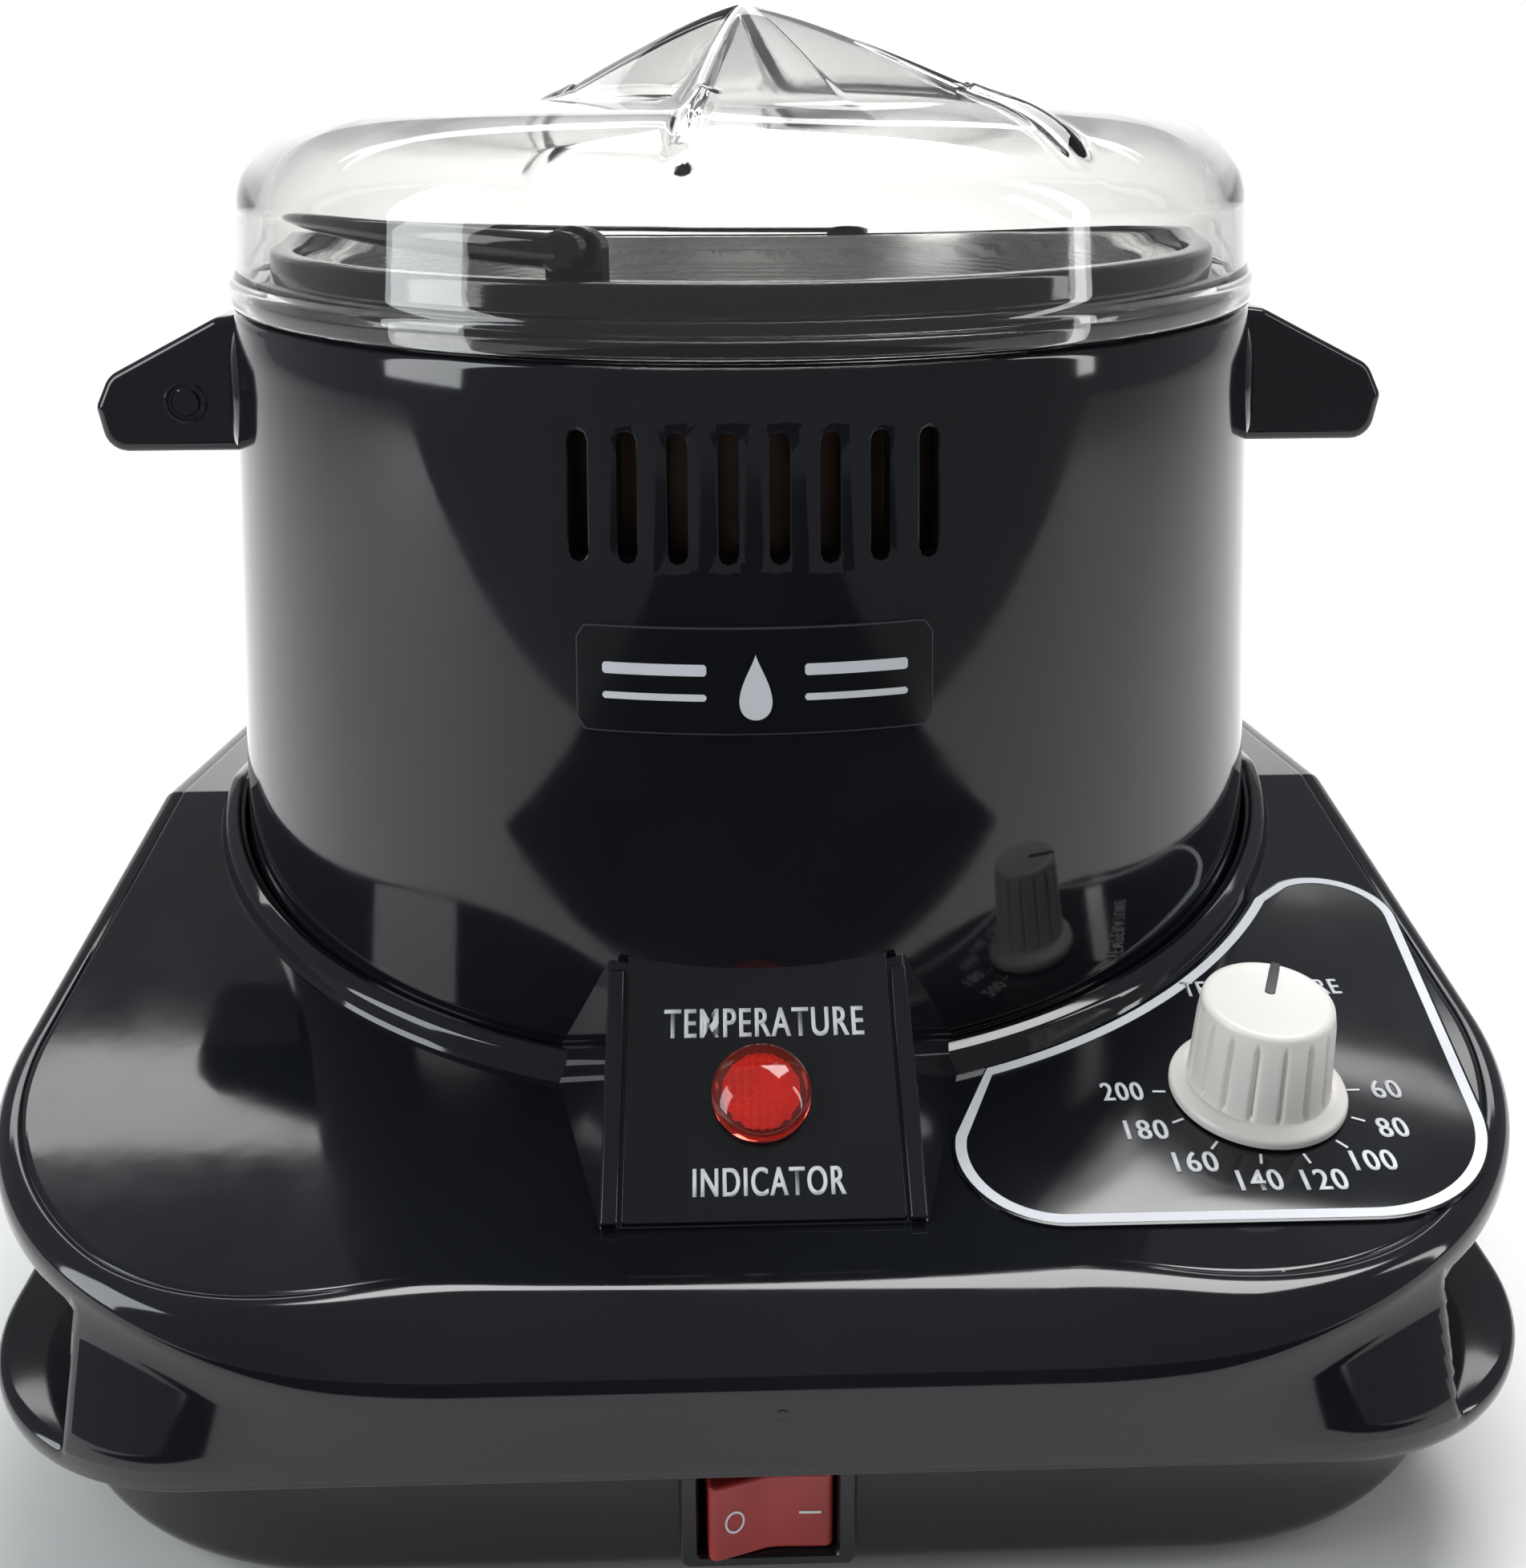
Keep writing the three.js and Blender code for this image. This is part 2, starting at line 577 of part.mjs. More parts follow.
// Turns geometry drawn with the bail's pivot axis along Y to the bail's real direction.
function alongBail(geometry) {
  return geometry.rotateZ(BAIL_AZIMUTH);
}

function bailLug(side) {
  const foot = CONTAINER_RIM_Z + GAP;
  const pivot = BAIL_PIVOT_Z - foot;
  const shape = new THREE.Shape();
  shape.moveTo(-4, 0);
  shape.lineTo(-4, pivot);
  shape.absarc(0, pivot, 4, Math.PI, 0, true);
  shape.lineTo(4, 0);
  const hole = new THREE.Path();
  hole.absarc(0, pivot, PIN_RADIUS + GAP, 0, 2 * Math.PI, false);
  shape.holes.push(hole);
  return alongBail(plate(shape, 3.4, -1.7, 8).rotateX(Math.PI / 2).translate(0, side * 66.6, foot));
}

// Half a hoop between two pins, drawn lying toward -X and raised by the tilt about the pivot axis.
function makeBail() {
  const hoop = new THREE.CatmullRomCurve3(Array.from({ length: 17 }, (unused, i) => {
    const angle = Math.PI / 2 + (Math.PI * i) / 16;
    return new THREE.Vector3(BAIL_RADIUS * Math.cos(angle), BAIL_RADIUS * Math.sin(angle), 0);
  }));
  const section = new THREE.Shape();
  section.absarc(0, 0, BAIL_WIRE, 0, 2 * Math.PI, false);
  const wire = new THREE.ExtrudeGeometry(section, {
    steps: 32, bevelEnabled: false, extrudePath: hoop, curveSegments: 5,
  });
  const pins = [-1, 1].map((side) => disc(PIN_RADIUS, 7, -3.5, 12).rotateX(Math.PI / 2)
    .translate(0, side * (BAIL_RADIUS - 3), 0));
  return alongBail(join(wire, ...pins).rotateY(BAIL_REST_TILT).translate(0, 0, BAIL_PIVOT_Z));
}

function addContainer() {
  const body = cup(
    CONTAINER_RADIUS, CONTAINER_WALL, CONTAINER_BOTTOM, 70.8, CONTAINER_RIM_Z, CONTAINER_RIM_THICKNESS,
  );
  addPiece('wax_container', body, 'aluminium');
  addPiece('collar_ring', makeCollar(), 'gloss');
  addPiece('bail_lug_front', bailLug(-1), 'gloss');
  addPiece('bail_lug_back', bailLug(1), 'gloss');
  addPiece('bail', makeBail(), 'gloss');
}

// ---- the lid ------------------------------------------------------------------------------------

// Height of the grip's ridges over the rim, at a distance from the lid's middle. They sink into the
// shoulder beyond the crown.
function ridgeHeight(radius) {
  const beyond = Math.max(radius - LID_CROWN_RADIUS - 4, 0) / 6;
  return GRIP_APEX_Z - 0.0705 * Math.pow(radius, 1.31) - beyond * beyond;
}

// The larger of two heights, with a fillet where they meet.
function blendedMax(first, second, fillet) {
  return (first + second + Math.hypot(first - second, fillet)) / 2;
}

// Height of the lid's round top over the rim.
function domeHeight(radius) {
  const shoulder = LID_TOP_Z - LID_SHOULDER_Z;
  const over = Math.max(radius - LID_CROWN_RADIUS, 0) / (LID_SHOULDER_RADIUS - LID_CROWN_RADIUS);
  const crown = 1.4 * (1 - (radius / LID_CROWN_RADIUS) ** 2);
  return LID_SHOULDER_Z + shoulder * Math.sqrt(Math.max(1 - over * over, 0)) + Math.max(crown, 0);
}

// The grip is a pinched ridge: two crests run from the apex to the front and two to the back, with a
// slightly hollow face between each pair and steep hollows at the sides.
function gripHeight(radius, angle) {
  const fromAxis = Math.abs(Math.asin(Math.sin(angle - GRIP_TURN)));
  const away = (fromAxis - GRIP_SPREAD) * radius;
  const inside = blendedMax(-away, 0, CREST_FILLET);
  const outside = blendedMax(away, 0, CREST_FILLET);
  return ridgeHeight(radius) - 0.1 * inside - 1.3 * outside;
}

function lidHeight(radius, angle) {
  return RIM_Z + blendedMax(domeHeight(radius), gripHeight(radius, angle), FOOT_FILLET);
}

// Ring angles: closer together over the grip, with one on each crest.
function lidAngles() {
  const fan = [-2.6, -2.2, -1.8, -1.5, -1.2, -1, -0.8, -0.4, 0, 0.4, 0.8, 1, 1.2, 1.5, 1.8, 2.2, 2.6];
  const steps = fan.map((step) => step * GRIP_SPREAD);
  const last = steps[steps.length - 1];
  const restCount = 7;
  const rest = [];
  for (let i = 1; i < restCount; i += 1) rest.push(last + ((Math.PI - 2 * last) * i) / restCount);
  const half = [...steps, ...rest];
  return [...half, ...half.map((angle) => angle + Math.PI)].map((angle) => angle + GRIP_TURN);
}

function lidSurface(thickness) {
  const radii = [79.9, 79.2, 77.6, 75, 71.3, 66, 60, 53, 46, 39, 33, 27, 22, 17, 13, 9, 5.5, 2.5];
  const circle = (radius, height) => lidAngles().map((angle) => {
    const z = height === null ? lidHeight(radius, angle) - thickness : height;
    return [(radius - thickness) * Math.sin(angle), -(radius - thickness) * Math.cos(angle), z];
  });
  const foot = thickness ? RIM_Z - 1 : RIM_Z;
  const rings = [circle(LID_RADIUS, foot), ...radii.map((radius) => circle(radius, null))];
  return lofted(rings, [0, 0, foot], [0, 0, RIM_Z + GRIP_APEX_Z - thickness]);
}

function addLid() {
  addPiece('lid', cut(lidSurface(0), lidSurface(LID_WALL)), 'clear');
}

// ---- dial, knob and indicator -------------------------------------------------------------------

function dialOutline() {
  const shape = new THREE.Shape();
  const turn = THREE.MathUtils.degToRad;
  shape.absarc(73, -94.2, 20.2, turn(-90), turn(-6), false);
  shape.absarc(87.6, -52.4, 10.4, turn(-4), turn(118), false);
  shape.absarc(0, 0, 91, turn(-31.5), turn(-70.5), true);
  shape.absarc(36.4, -101.9, 12.5, turn(165), turn(270), false);
  return shape;
}

function knobProfile(angle, radius, depth) {
  const wave = Math.cos(angle * KNOB_FLUTES) > 0 ? 1 : 0;
  return radius - depth * wave;
}

function makeKnob() {
  const count = KNOB_FLUTES * 4;
  const fluted = (radius, z, depth) => Array.from({ length: count }, (unused, i) => {
    const angle = (2 * Math.PI * (i + 0.5)) / count;
    const r = knobProfile(angle, radius, depth);
    return [r * Math.cos(angle), r * Math.sin(angle), z];
  });
  const body = lofted([
    fluted(9.9, 2, 0), fluted(9.8, 3.2, 0.45), fluted(8.95, 13.2, 0.45), fluted(8.8, 13.6, 0),
    fluted(8.6, KNOB_HEIGHT - 0.5, 0), fluted(8.2, KNOB_HEIGHT, 0),
  ], [0, 0, 2], [0, 0, KNOB_HEIGHT]);
  const flange = turned([
    [0, 0.8], [11.1, 0.8], [KNOB_FLANGE_RADIUS, 1.4], [KNOB_FLANGE_RADIUS, 2.2], [10.9, 2.8], [0, 2.8],
  ], 48);
  const groove = block(1.9, 8.4, 2, KNOB_HEIGHT - 1).translate(0, 5.2, 0);
  return cut(join(flange, body), disc(3.3, 11, 0), groove);
}

function addDial() {
  const sheet = draped(plate(dialOutline(), 0.4, GAP, 10));
  addPiece('dial_label', cut(sheet, onDial(disc(3.6, 4, -2))), 'label');
  const turning = new THREE.Group();
  turning.position.set(DIAL_X, DIAL_Y, deckHeight(DIAL_Y));
  turning.rotation.set(Math.atan(DECK_SLOPE), 0, 0);
  group.add(turning);
  const knob = new THREE.Group();
  knob.rotation.z = -POINTER_TURN;
  turning.add(knob);
  addPiece('knob', makeKnob(), 'white', knob);
  addPiece('knob_pointer', block(1.3, 7.2, 0.9, KNOB_HEIGHT - 0.7).translate(0, 4.9, 0), 'black', knob);
  addPiece('thermostat_shaft', disc(3, 19.6, -9), 'steel', knob);
  addPiece('thermostat_nut', hexNut(3.4, 5.8, -WALL - 3.2, -WALL - GAP), 'brass', turning);
  addPiece('thermostat_body', block(22, 20, 10, -19.5), 'ceramic', turning);
}

function addIndicator() {
  const face = onPanel(block(2 * PANEL_LOW.half - 0.6, panelLength + 4, 0.6), panelLength / 2 + 2.4, GAP);
  const hole = onPanel(disc(5.4, 6, -2), lampAlong);
  addPiece('indicator_plate', cut(face, hole, disc(87.4, 60, 40, 96)), 'label');
  const lens = turned([
    [0, 1.2], [LAMP_RADIUS, 1.2], [LAMP_RADIUS, 2], [5.6, 3], [4.2, 4], [2.2, 4.6], [0, 4.8],
  ], 28);
  addPiece('lamp_lens', onPanel(lens, lampAlong), 'lamp');
  addPiece('lamp_body', onPanel(disc(4.8, 15.9, -15), lampAlong), 'black');
  addPiece('lamp_nut', onPanel(hexNut(5.1, 7.8, -9.6, -7.4), lampAlong), 'black');
}

// ---- switch, terminals and cord inlet -----------------------------------------------------------

function addSwitch() {
  const front = PAN_PLAN.front - GAP;
  const bezel = block(21, 1.8, 14.4, -7.2).translate(0, front - 0.9, 0);
  const body = block(18.6, 17, 12.6, -6.3).translate(0, front + 8.4, 0);
  const pocket = block(16.4, 12.5, 11.2, -5.6).translate(0, front + 2.8, 0);
  const tabs = [-5, 5].map((x) => block(4.8, 8, 0.9, -0.45).translate(x, front + 20.5, 0));
  const frame = new THREE.Group();
  frame.position.z = SWITCH_Z;
  group.add(frame);
  addPiece('switch_body', join(cut(join(bezel, body), pocket), ...tabs), 'black', frame);
  const section = polygon([[-7.3, 2], [-7.5, -3.4], [0, -2.2], [7.5, -3.4], [7.3, 2], [0, 5]]);
  const rocker = addPiece('rocker', plate(section, 10.6, -5.3), 'rocker', frame);
  rocker.position.y = front + 1.2;
  rocker.rotation.z = ROCKER_TILT;
}

function addWiring() {
  const base = join(block(34, 16, 3, 0), block(34, 8, 12, 0));
  const terminal = addPiece('terminal_block', base, 'ceramic');
  terminal.position.set(30, 40, PAN_BOTTOM + WALL + GAP);
  const gland = turned([[3.6, -4], [5, -4], [5, 3.2], [8, 3.2], [7, 7], [5.2, 9], [3.6, 9]], 28);
  const inlet = addPiece('cord_gland', gland, 'black');
  inlet.rotation.x = -Math.PI / 2;
  inlet.position.set(0, PAN_PLAN.back - 2.9, SWITCH_Z);
}

addBase();
addCasing();
addHeater();
addContainer();
addLid();
addDial();
addIndicator();
addSwitch();
addWiring();
group.position.y = POT_OFFSET_Y;

export default group;
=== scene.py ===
import math

import bmesh
import bpy
import numpy as np
from mathutils import Matrix, Vector


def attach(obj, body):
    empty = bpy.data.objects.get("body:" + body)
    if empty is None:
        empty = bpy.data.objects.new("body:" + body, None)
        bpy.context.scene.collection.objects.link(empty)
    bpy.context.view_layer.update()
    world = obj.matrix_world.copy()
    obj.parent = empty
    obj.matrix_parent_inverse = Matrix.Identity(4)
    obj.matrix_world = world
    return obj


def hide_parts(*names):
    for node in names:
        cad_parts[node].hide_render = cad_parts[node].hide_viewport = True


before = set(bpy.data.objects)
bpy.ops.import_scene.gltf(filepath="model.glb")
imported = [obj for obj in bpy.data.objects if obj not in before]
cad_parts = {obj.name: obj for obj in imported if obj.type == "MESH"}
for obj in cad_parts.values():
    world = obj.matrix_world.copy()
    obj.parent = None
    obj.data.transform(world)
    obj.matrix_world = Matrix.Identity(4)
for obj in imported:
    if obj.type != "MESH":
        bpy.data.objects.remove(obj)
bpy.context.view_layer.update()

scene = bpy.context.scene

MM = 0.001
POT_Y = 18                    # the pot's axis stands this far behind the row's origin
GAP = 0.3

# Base. A plan is a rounded rectangle: half width, front, back and corner radius.
PAN_PLAN = (95.5, -121, 87, 44)
FLANGE_PLAN = (95.5, -129, 90, 30)
HOLLOW_PLAN = (80, -129, 87, 30)
DECK_PLAN = (101.3, -129, 93, 54)
PAN_BOTTOM = 3
PAN_TOP = 23.7
PAN_EDGE = 4
COVER_BOTTOM = 24
DECK_SLOPE = math.tan(math.radians(7))
RIDGE_Y = -9
RIDGE_Z = 58.4
SIDE_EDGE = 2.5
FRONT_EDGE = 9
LIP_DROP = 2.2
FLANGE_TOP = 27.6             # the foot flange that stays outside the recessed sides
FLANGE_ROUND = 1.5
LEDGE_Z = 30                  # the casing's bore is cut down to here
RECESS_X = 80                 # the cover's side walls are set back to here
WALL = 2.6
BORE_RADIUS = 86.9
DECK_HOLE = 88                # the deck's skin ends here, under the bead
TOWER_RADIUS = BORE_RADIUS + WALL
BEAD_OUTER = 90.2

# Casing
RIM_Z = 144
CASING_BOTTOM = 44
CASING_TOP = 143.6
CASING_RIM_RADIUS = 81.5
CASING_DRAFT = 0.0506
SLOT_COUNT = 8
SLOT_PITCH = math.radians(4.43)
SLOT_WIDTH = 2.5
SLOT_LOW = 118.6
SLOT_HIGH = 135.3
CASING_LIP = 1.6              # rounding of the casing's upper edge
HANDLE_TIP_X = 106
HANDLE_HALF = 9.5             # half of a handle's depth from front to back
HANDLE_DROP = 25.6            # a handle's lower face, below the rim
PAD_DROP = 14.2
PAD_HALF_HEIGHT = 11.4
PAD_HALF_LENGTH = 27
PLUG_X = 91
PLUG_DROP = 17.2
NAME_RADIUS = 83.5            # of the casing where the name plate sits

# Container and bail
WELL_RADIUS = 68
CONTAINER_RADIUS = 65.8
CONTAINER_BOTTOM = 66
CONTAINER_RIM_Z = 150.8
BAIL_RADIUS = 71
BAIL_WIRE = 2.3
BAIL_PIVOT_Z = 156.2
BAIL_AZIMUTH = -19.5
BAIL_TILT = 3

# Lid
LID_RADIUS = 81.6
LID_WALL = 1.8
LID_SHOULDER_RADIUS = 80
LID_CROWN_RADIUS = 60
LID_SHOULDER_Z = 15
LID_TOP_Z = 28.6
GRIP_APEX_Z = 44.8
GRIP_TURN = math.radians(14)
GRIP_SPREAD = math.radians(20.5)

# Dial, indicator and switch
DIAL_X = 65
DIAL_Y = -91.8
KNOB_HEIGHT = 15.3
POINTER_TURN = 23
PANEL_LOW_Y = -113
PANEL_HIGH_Y = -84.5
PANEL_HIGH_Z = 64.2
PANEL_HALF = 17.3
LAMP_RADIUS = 6.2
SWITCH_Z = 13.5
ROCKER_TILT = 8
BOLD = 0.07                   # each word is printed three times, this far apart sideways

FINE = 256                    # segments of the large turned pieces
SMALL = 64


# ---- camera ----------------------------------------------------------------------------------------

def make_camera():
    data = bpy.data.cameras.new("camera")
    data.sensor_width = 36
    data.lens = 39.69
    data.shift_y = -0.1533
    data.clip_start = 0.01
    camera = bpy.data.objects.new("camera", data)
    turn = Matrix.Rotation(math.radians(-1.5), 4, "Z")
    pitch = Matrix.Rotation(math.radians(75), 4, "X")
    roll = Matrix.Rotation(math.radians(-0.305), 4, "Z")
    camera.matrix_world = Matrix.Translation((-0.00439, -0.27198, 0.17697)) @ turn @ pitch @ roll
    scene.collection.objects.link(camera)
    scene.camera = camera


make_camera()


# ---- materials -------------------------------------------------------------------------------------

def node(tree, kind, **settings):
    made = tree.nodes.new(kind)
    for key, value in settings.items():
        if key in made.inputs:
            made.inputs[key].default_value = value
        else:
            setattr(made, key, value)
    return made


def coordinates(tree):
    """Object coordinates with their origin on the pot's axis."""
    place = node(tree, "ShaderNodeMapping")
    place.inputs["Location"].default_value = (0, -POT_Y * MM, 0)
    tree.links.new(node(tree, "ShaderNodeTexCoord").outputs["Object"], place.inputs["Vector"])
    return place.outputs["Vector"]


def noise(tree, vector, scale, detail=3.0):
    made = node(tree, "ShaderNodeTexNoise", Scale=scale, Detail=detail)
    tree.links.new(vector, made.inputs["Vector"])
    return made.outputs["Fac"]


def spread(tree, factor, low, high, reach=(0.3, 0.7)):
    """Turns a noise factor into a number between low and high."""
    made = node(tree, "ShaderNodeMapRange")
    made.inputs["From Min"].default_value = reach[0]
    made.inputs["From Max"].default_value = reach[1]
    made.inputs["To Min"].default_value = low
    made.inputs["To Max"].default_value = high
    tree.links.new(factor, made.inputs["Value"])
    return made.outputs["Result"]


def tint(tree, factor, colour, change):
    """A colour that wanders between a darker and a lighter tone of itself."""
    ramp = node(tree, "ShaderNodeValToRGB")
    ramp.color_ramp.elements[0].position = 0.3
    ramp.color_ramp.elements[1].position = 0.7
    ramp.color_ramp.elements[0].color = (*[c * (1 - change) for c in colour], 1)
    ramp.color_ramp.elements[1].color = (*[min(c * (1 + change), 1) for c in colour], 1)
    tree.links.new(factor, ramp.inputs["Fac"])
    return ramp.outputs["Color"]


def raised(tree, shader, height, strength, distance):
    bump = node(tree, "ShaderNodeBump", Strength=strength, Distance=distance)
    tree.links.new(height, bump.inputs["Height"])
    tree.links.new(bump.outputs["Normal"], shader.inputs["Normal"])


def finish_of(name, colour, roughness, change=0.12, wander=0.04, grain=900, bump=0.1, depth=0.00004,
              patch=25, **sockets):
    """A moulded finish: wandering tone and gloss, fine surface grain."""
    material = bpy.data.materials.new(name)
    material.use_nodes = True
    tree = material.node_tree
    shader = tree.nodes["Principled BSDF"]
    vector = coordinates(tree)
    tree.links.new(tint(tree, noise(tree, vector, patch), colour, change), shader.inputs["Base Color"])
    gloss = spread(tree, noise(tree, vector, patch * 3), max(roughness - wander, 0.01), roughness + wander)
    tree.links.new(gloss, shader.inputs["Roughness"])
    raised(tree, shader, noise(tree, vector, grain, 2), bump, depth)
    for key, value in sockets.items():
        shader.inputs[key.replace("_", " ")].default_value = value
    return material


def spun_metal(name, colour, roughness, rings=900):
    """Metal turned on a lathe: fine rings about the pot's axis in gloss and relief, and a tone that wanders.
    """
    material = bpy.data.materials.new(name)
    material.use_nodes = True
    tree = material.node_tree
    shader = tree.nodes["Principled BSDF"]
    shader.inputs["Metallic"].default_value = 1
    vector = coordinates(tree)
    wave = node(tree, "ShaderNodeTexWave", wave_type="RINGS", rings_direction="SPHERICAL",
                Scale=rings, Distortion=3, Detail=3)
    tree.links.new(vector, wave.inputs["Vector"])
    tree.links.new(tint(tree, noise(tree, vector, 30), colour, 0.12), shader.inputs["Base Color"])
    tree.links.new(spread(tree, wave.outputs["Fac"], roughness - 0.06, roughness + 0.08),
                   shader.inputs["Roughness"])
    raised(tree, shader, wave.outputs["Fac"], 0.03, 0.00002)
    return material


GLOSS = finish_of("gloss_black", (0.0065, 0.0075, 0.0100), 0.07, change=0.25, wander=0.025,
                  grain=160, bump=0.03, depth=0.0002)
BLACK = finish_of("moulded_black", (0.0085, 0.0092, 0.0110), 0.15, change=0.25, wander=0.05, bump=0.06)
CLEAR = finish_of("clear_plastic", (0.90, 0.895, 0.88), 0.025, change=0.015, wander=0.015, grain=70,
                  bump=0.05, depth=0.0003, Transmission_Weight=1.0, IOR=1.5)
WHITE = finish_of("white_plastic", (0.80, 0.775, 0.735), 0.34, change=0.05, wander=0.07, bump=0.15)
LABEL = finish_of("label_film", (0.0060, 0.0066, 0.0085), 0.12, change=0.25, wander=0.03, grain=500,
                  bump=0.04)
PRINT = finish_of("white_print", (0.70, 0.72, 0.76), 0.45, change=0.08, wander=0.08, grain=2500, bump=0.15)
FAINT = finish_of("faint_edge", (0.055, 0.058, 0.065), 0.25, change=0.2)
LENS = finish_of("lamp_lens", (0.88, 0.14, 0.10), 0.04, change=0.05, wander=0.015, grain=300, bump=0.03,
                 Transmission_Weight=0.9, IOR=1.49)
GLOW = finish_of("lamp_prisms", (0.78, 0.05, 0.03), 0.25, change=0.15, patch=300,
                 Emission_Color=(0.9, 0.06, 0.03, 1), Emission_Strength=0.1)
ROCKER = finish_of("rocker_red", (0.47, 0.045, 0.040), 0.18, change=0.12, wander=0.05, patch=120,
                   Transmission_Weight=0.25, IOR=1.5)
STEEL = spun_metal("zinc_steel", (0.60, 0.61, 0.62), 0.3, rings=2000)
ALUMINIUM = spun_metal("spun_aluminium", (0.60, 0.60, 0.59), 0.26, rings=420)
BRASS = spun_metal("brass", (0.62, 0.46, 0.21), 0.35, rings=1500)
MICA = finish_of("mica", (0.30, 0.21, 0.13), 0.6, change=0.35, grain=300, bump=0.4, depth=0.0003, patch=120)
SLEEVE = finish_of("insulation", (0.12, 0.075, 0.052), 0.42, change=0.35, grain=350, bump=0.4,
                   depth=0.0003, patch=90, Metallic=0.75)
CERAMIC = finish_of("ceramic", (0.74, 0.69, 0.60), 0.65, change=0.08, grain=700, bump=0.2)
RUBBER = finish_of("rubber", (0.014, 0.014, 0.015), 0.8, change=0.25, grain=1200, bump=0.3)


# ---- building meshes -------------------------------------------------------------------------------

def in_row(points):
    """Pot-frame millimetres to row-frame metres."""
    return (np.asarray(points, float) + (0, POT_Y, 0)) * MM


def shade(mesh, sharp):
    mesh.polygons.foreach_set("use_smooth", [True] * len(mesh.polygons))
    mesh.set_sharp_from_angle(angle=math.radians(sharp))


def add_piece(name, solid, material, body, stands_for=(), sharp=38, bevel=0.0, matrix=None):
    """Adds a piece from (points, faces), rides it on its body and lets it stand for CAD nodes."""
    points, faces = solid
    if matrix is not None:
        points = [matrix @ Vector(p) for p in points]
    mesh = bpy.data.meshes.new(name)
    mesh.from_pydata(in_row([tuple(p) for p in points]).tolist(), [], faces)
    work = bmesh.new()
    work.from_mesh(mesh)
    bmesh.ops.remove_doubles(work, verts=work.verts, dist=2e-6)
    bmesh.ops.recalc_face_normals(work, faces=work.faces)
    work.to_mesh(mesh)
    work.free()
    shade(mesh, sharp)
    mesh.materials.append(material)
    piece = bpy.data.objects.new(name, mesh)
    scene.collection.objects.link(piece)
    if bevel:
        rounding = piece.modifiers.new("rounding", "BEVEL")
        rounding.width = bevel * MM
        rounding.segments = 4
        rounding.limit_method = "ANGLE"
        rounding.angle_limit = math.radians(32)
        rounding.harden_normals = True
    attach(piece, body)
    if stands_for:
        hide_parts(*stands_for)
    return piece


def loft(rings, low=True, high=True, ring_shaped=False):
    """Faces through a stack of rings with equal numbers of points."""
    count = len(rings[0])
    points = [tuple(p) for ring in rings for p in ring]
    faces = []
    levels = len(rings)
    for k in range(levels if ring_shaped else levels - 1):
        a = k * count
        b = (k + 1) % levels * count
        for i in range(count):
            j = (i + 1) % count
            faces.append((a + i, a + j, b + j, b + i))
    if not ring_shaped:
        if low:
            faces.append(tuple(reversed(range(count))))
        if high:
            faces.append(tuple(range((levels - 1) * count, levels * count)))
    return points, faces


def circle(radius, z, segments):
    angles = np.linspace(0, 2 * math.pi, segments, endpoint=False)
    return [(radius * math.cos(a), radius * math.sin(a), z) for a in angles]


def turned(profile, segments=FINE):
    """Turns a closed profile of (radius, height) points about the Z axis."""
    rings = [circle(r, z, segments) for r, z in profile]
    on_axis = profile[0][0] == 0
    return loft(rings, low=not on_axis, high=not on_axis, ring_shaped=not on_axis)


def rounded(corners, steps=6):
    """A closed outline through (x, y, radius) corners."""
    outline = []
    for i, (x, y, radius) in enumerate(corners):
        if radius <= 0:
            outline.append((x, y))
            continue
        corner = Vector((x, y))
        before = Vector(corners[i - 1][:2]) - corner
        after = Vector(corners[(i + 1) % len(corners)][:2]) - corner
        half = before.angle(after) / 2
        reach = min(radius / math.tan(half), 0.49 * before.length, 0.49 * after.length)
        size = reach * math.tan(half)
        centre = corner + (before.normalized() + after.normalized()).normalized() * (size / math.sin(half))
        start = corner + before.normalized() * reach - centre
        end = corner + after.normalized() * reach - centre
        first = math.atan2(start.y, start.x)
        sweep = (math.atan2(end.y, end.x) - first + math.pi) % (2 * math.pi) - math.pi
        for k in range(steps + 1):
            angle = first + sweep * k / steps
            outline.append((centre.x + size * math.cos(angle), centre.y + size * math.sin(angle)))
    return outline


def quarter(radius, *turns):
    """Steps (in, down) of a quarter round, from its top at 90 degrees to its side at 0."""
    return [(radius * (1 - math.cos(t)), radius * (1 - math.sin(t))) for t in np.radians(turns)]


def prism(outline, low, high):
    """An outline in XY raised from low to high."""
    return loft([[(x, y, low) for x, y in outline], [(x, y, high) for x, y in outline]])


def box_outline(width, depth, radius):
    x, y = width / 2, depth / 2
    return rounded([(-x, -y, radius), (x, -y, radius), (x, y, radius), (-x, y, radius)])


# ---- base ------------------------------------------------------------------------------------------

def deck_height(y):
    return RIDGE_Z - DECK_SLOPE * np.abs(np.asarray(y) - RIDGE_Y)


def smooth_step(value, low, high):
    t = np.clip((value - low) / (high - low), 0, 1)
    return t * t * (3 - 2 * t)


def front_share(x, y):
    """One in the middle of the front, where wall and deck are flush, and none at the corners."""
    return smooth_step(-y, 98, 110) * (1 - smooth_step(np.abs(x), 35, 82))


def deck_edge(x, y):
    """The deck's edge rounding grows from the corners to the middle of the front."""
    return SIDE_EDGE + (FRONT_EDGE - SIDE_EDGE) * front_share(x, y)


RAYS = np.linspace(0, 2 * math.pi, 1440, endpoint=False)
RAY_X = np.cos(RAYS)
RAY_Y = np.sin(RAYS)


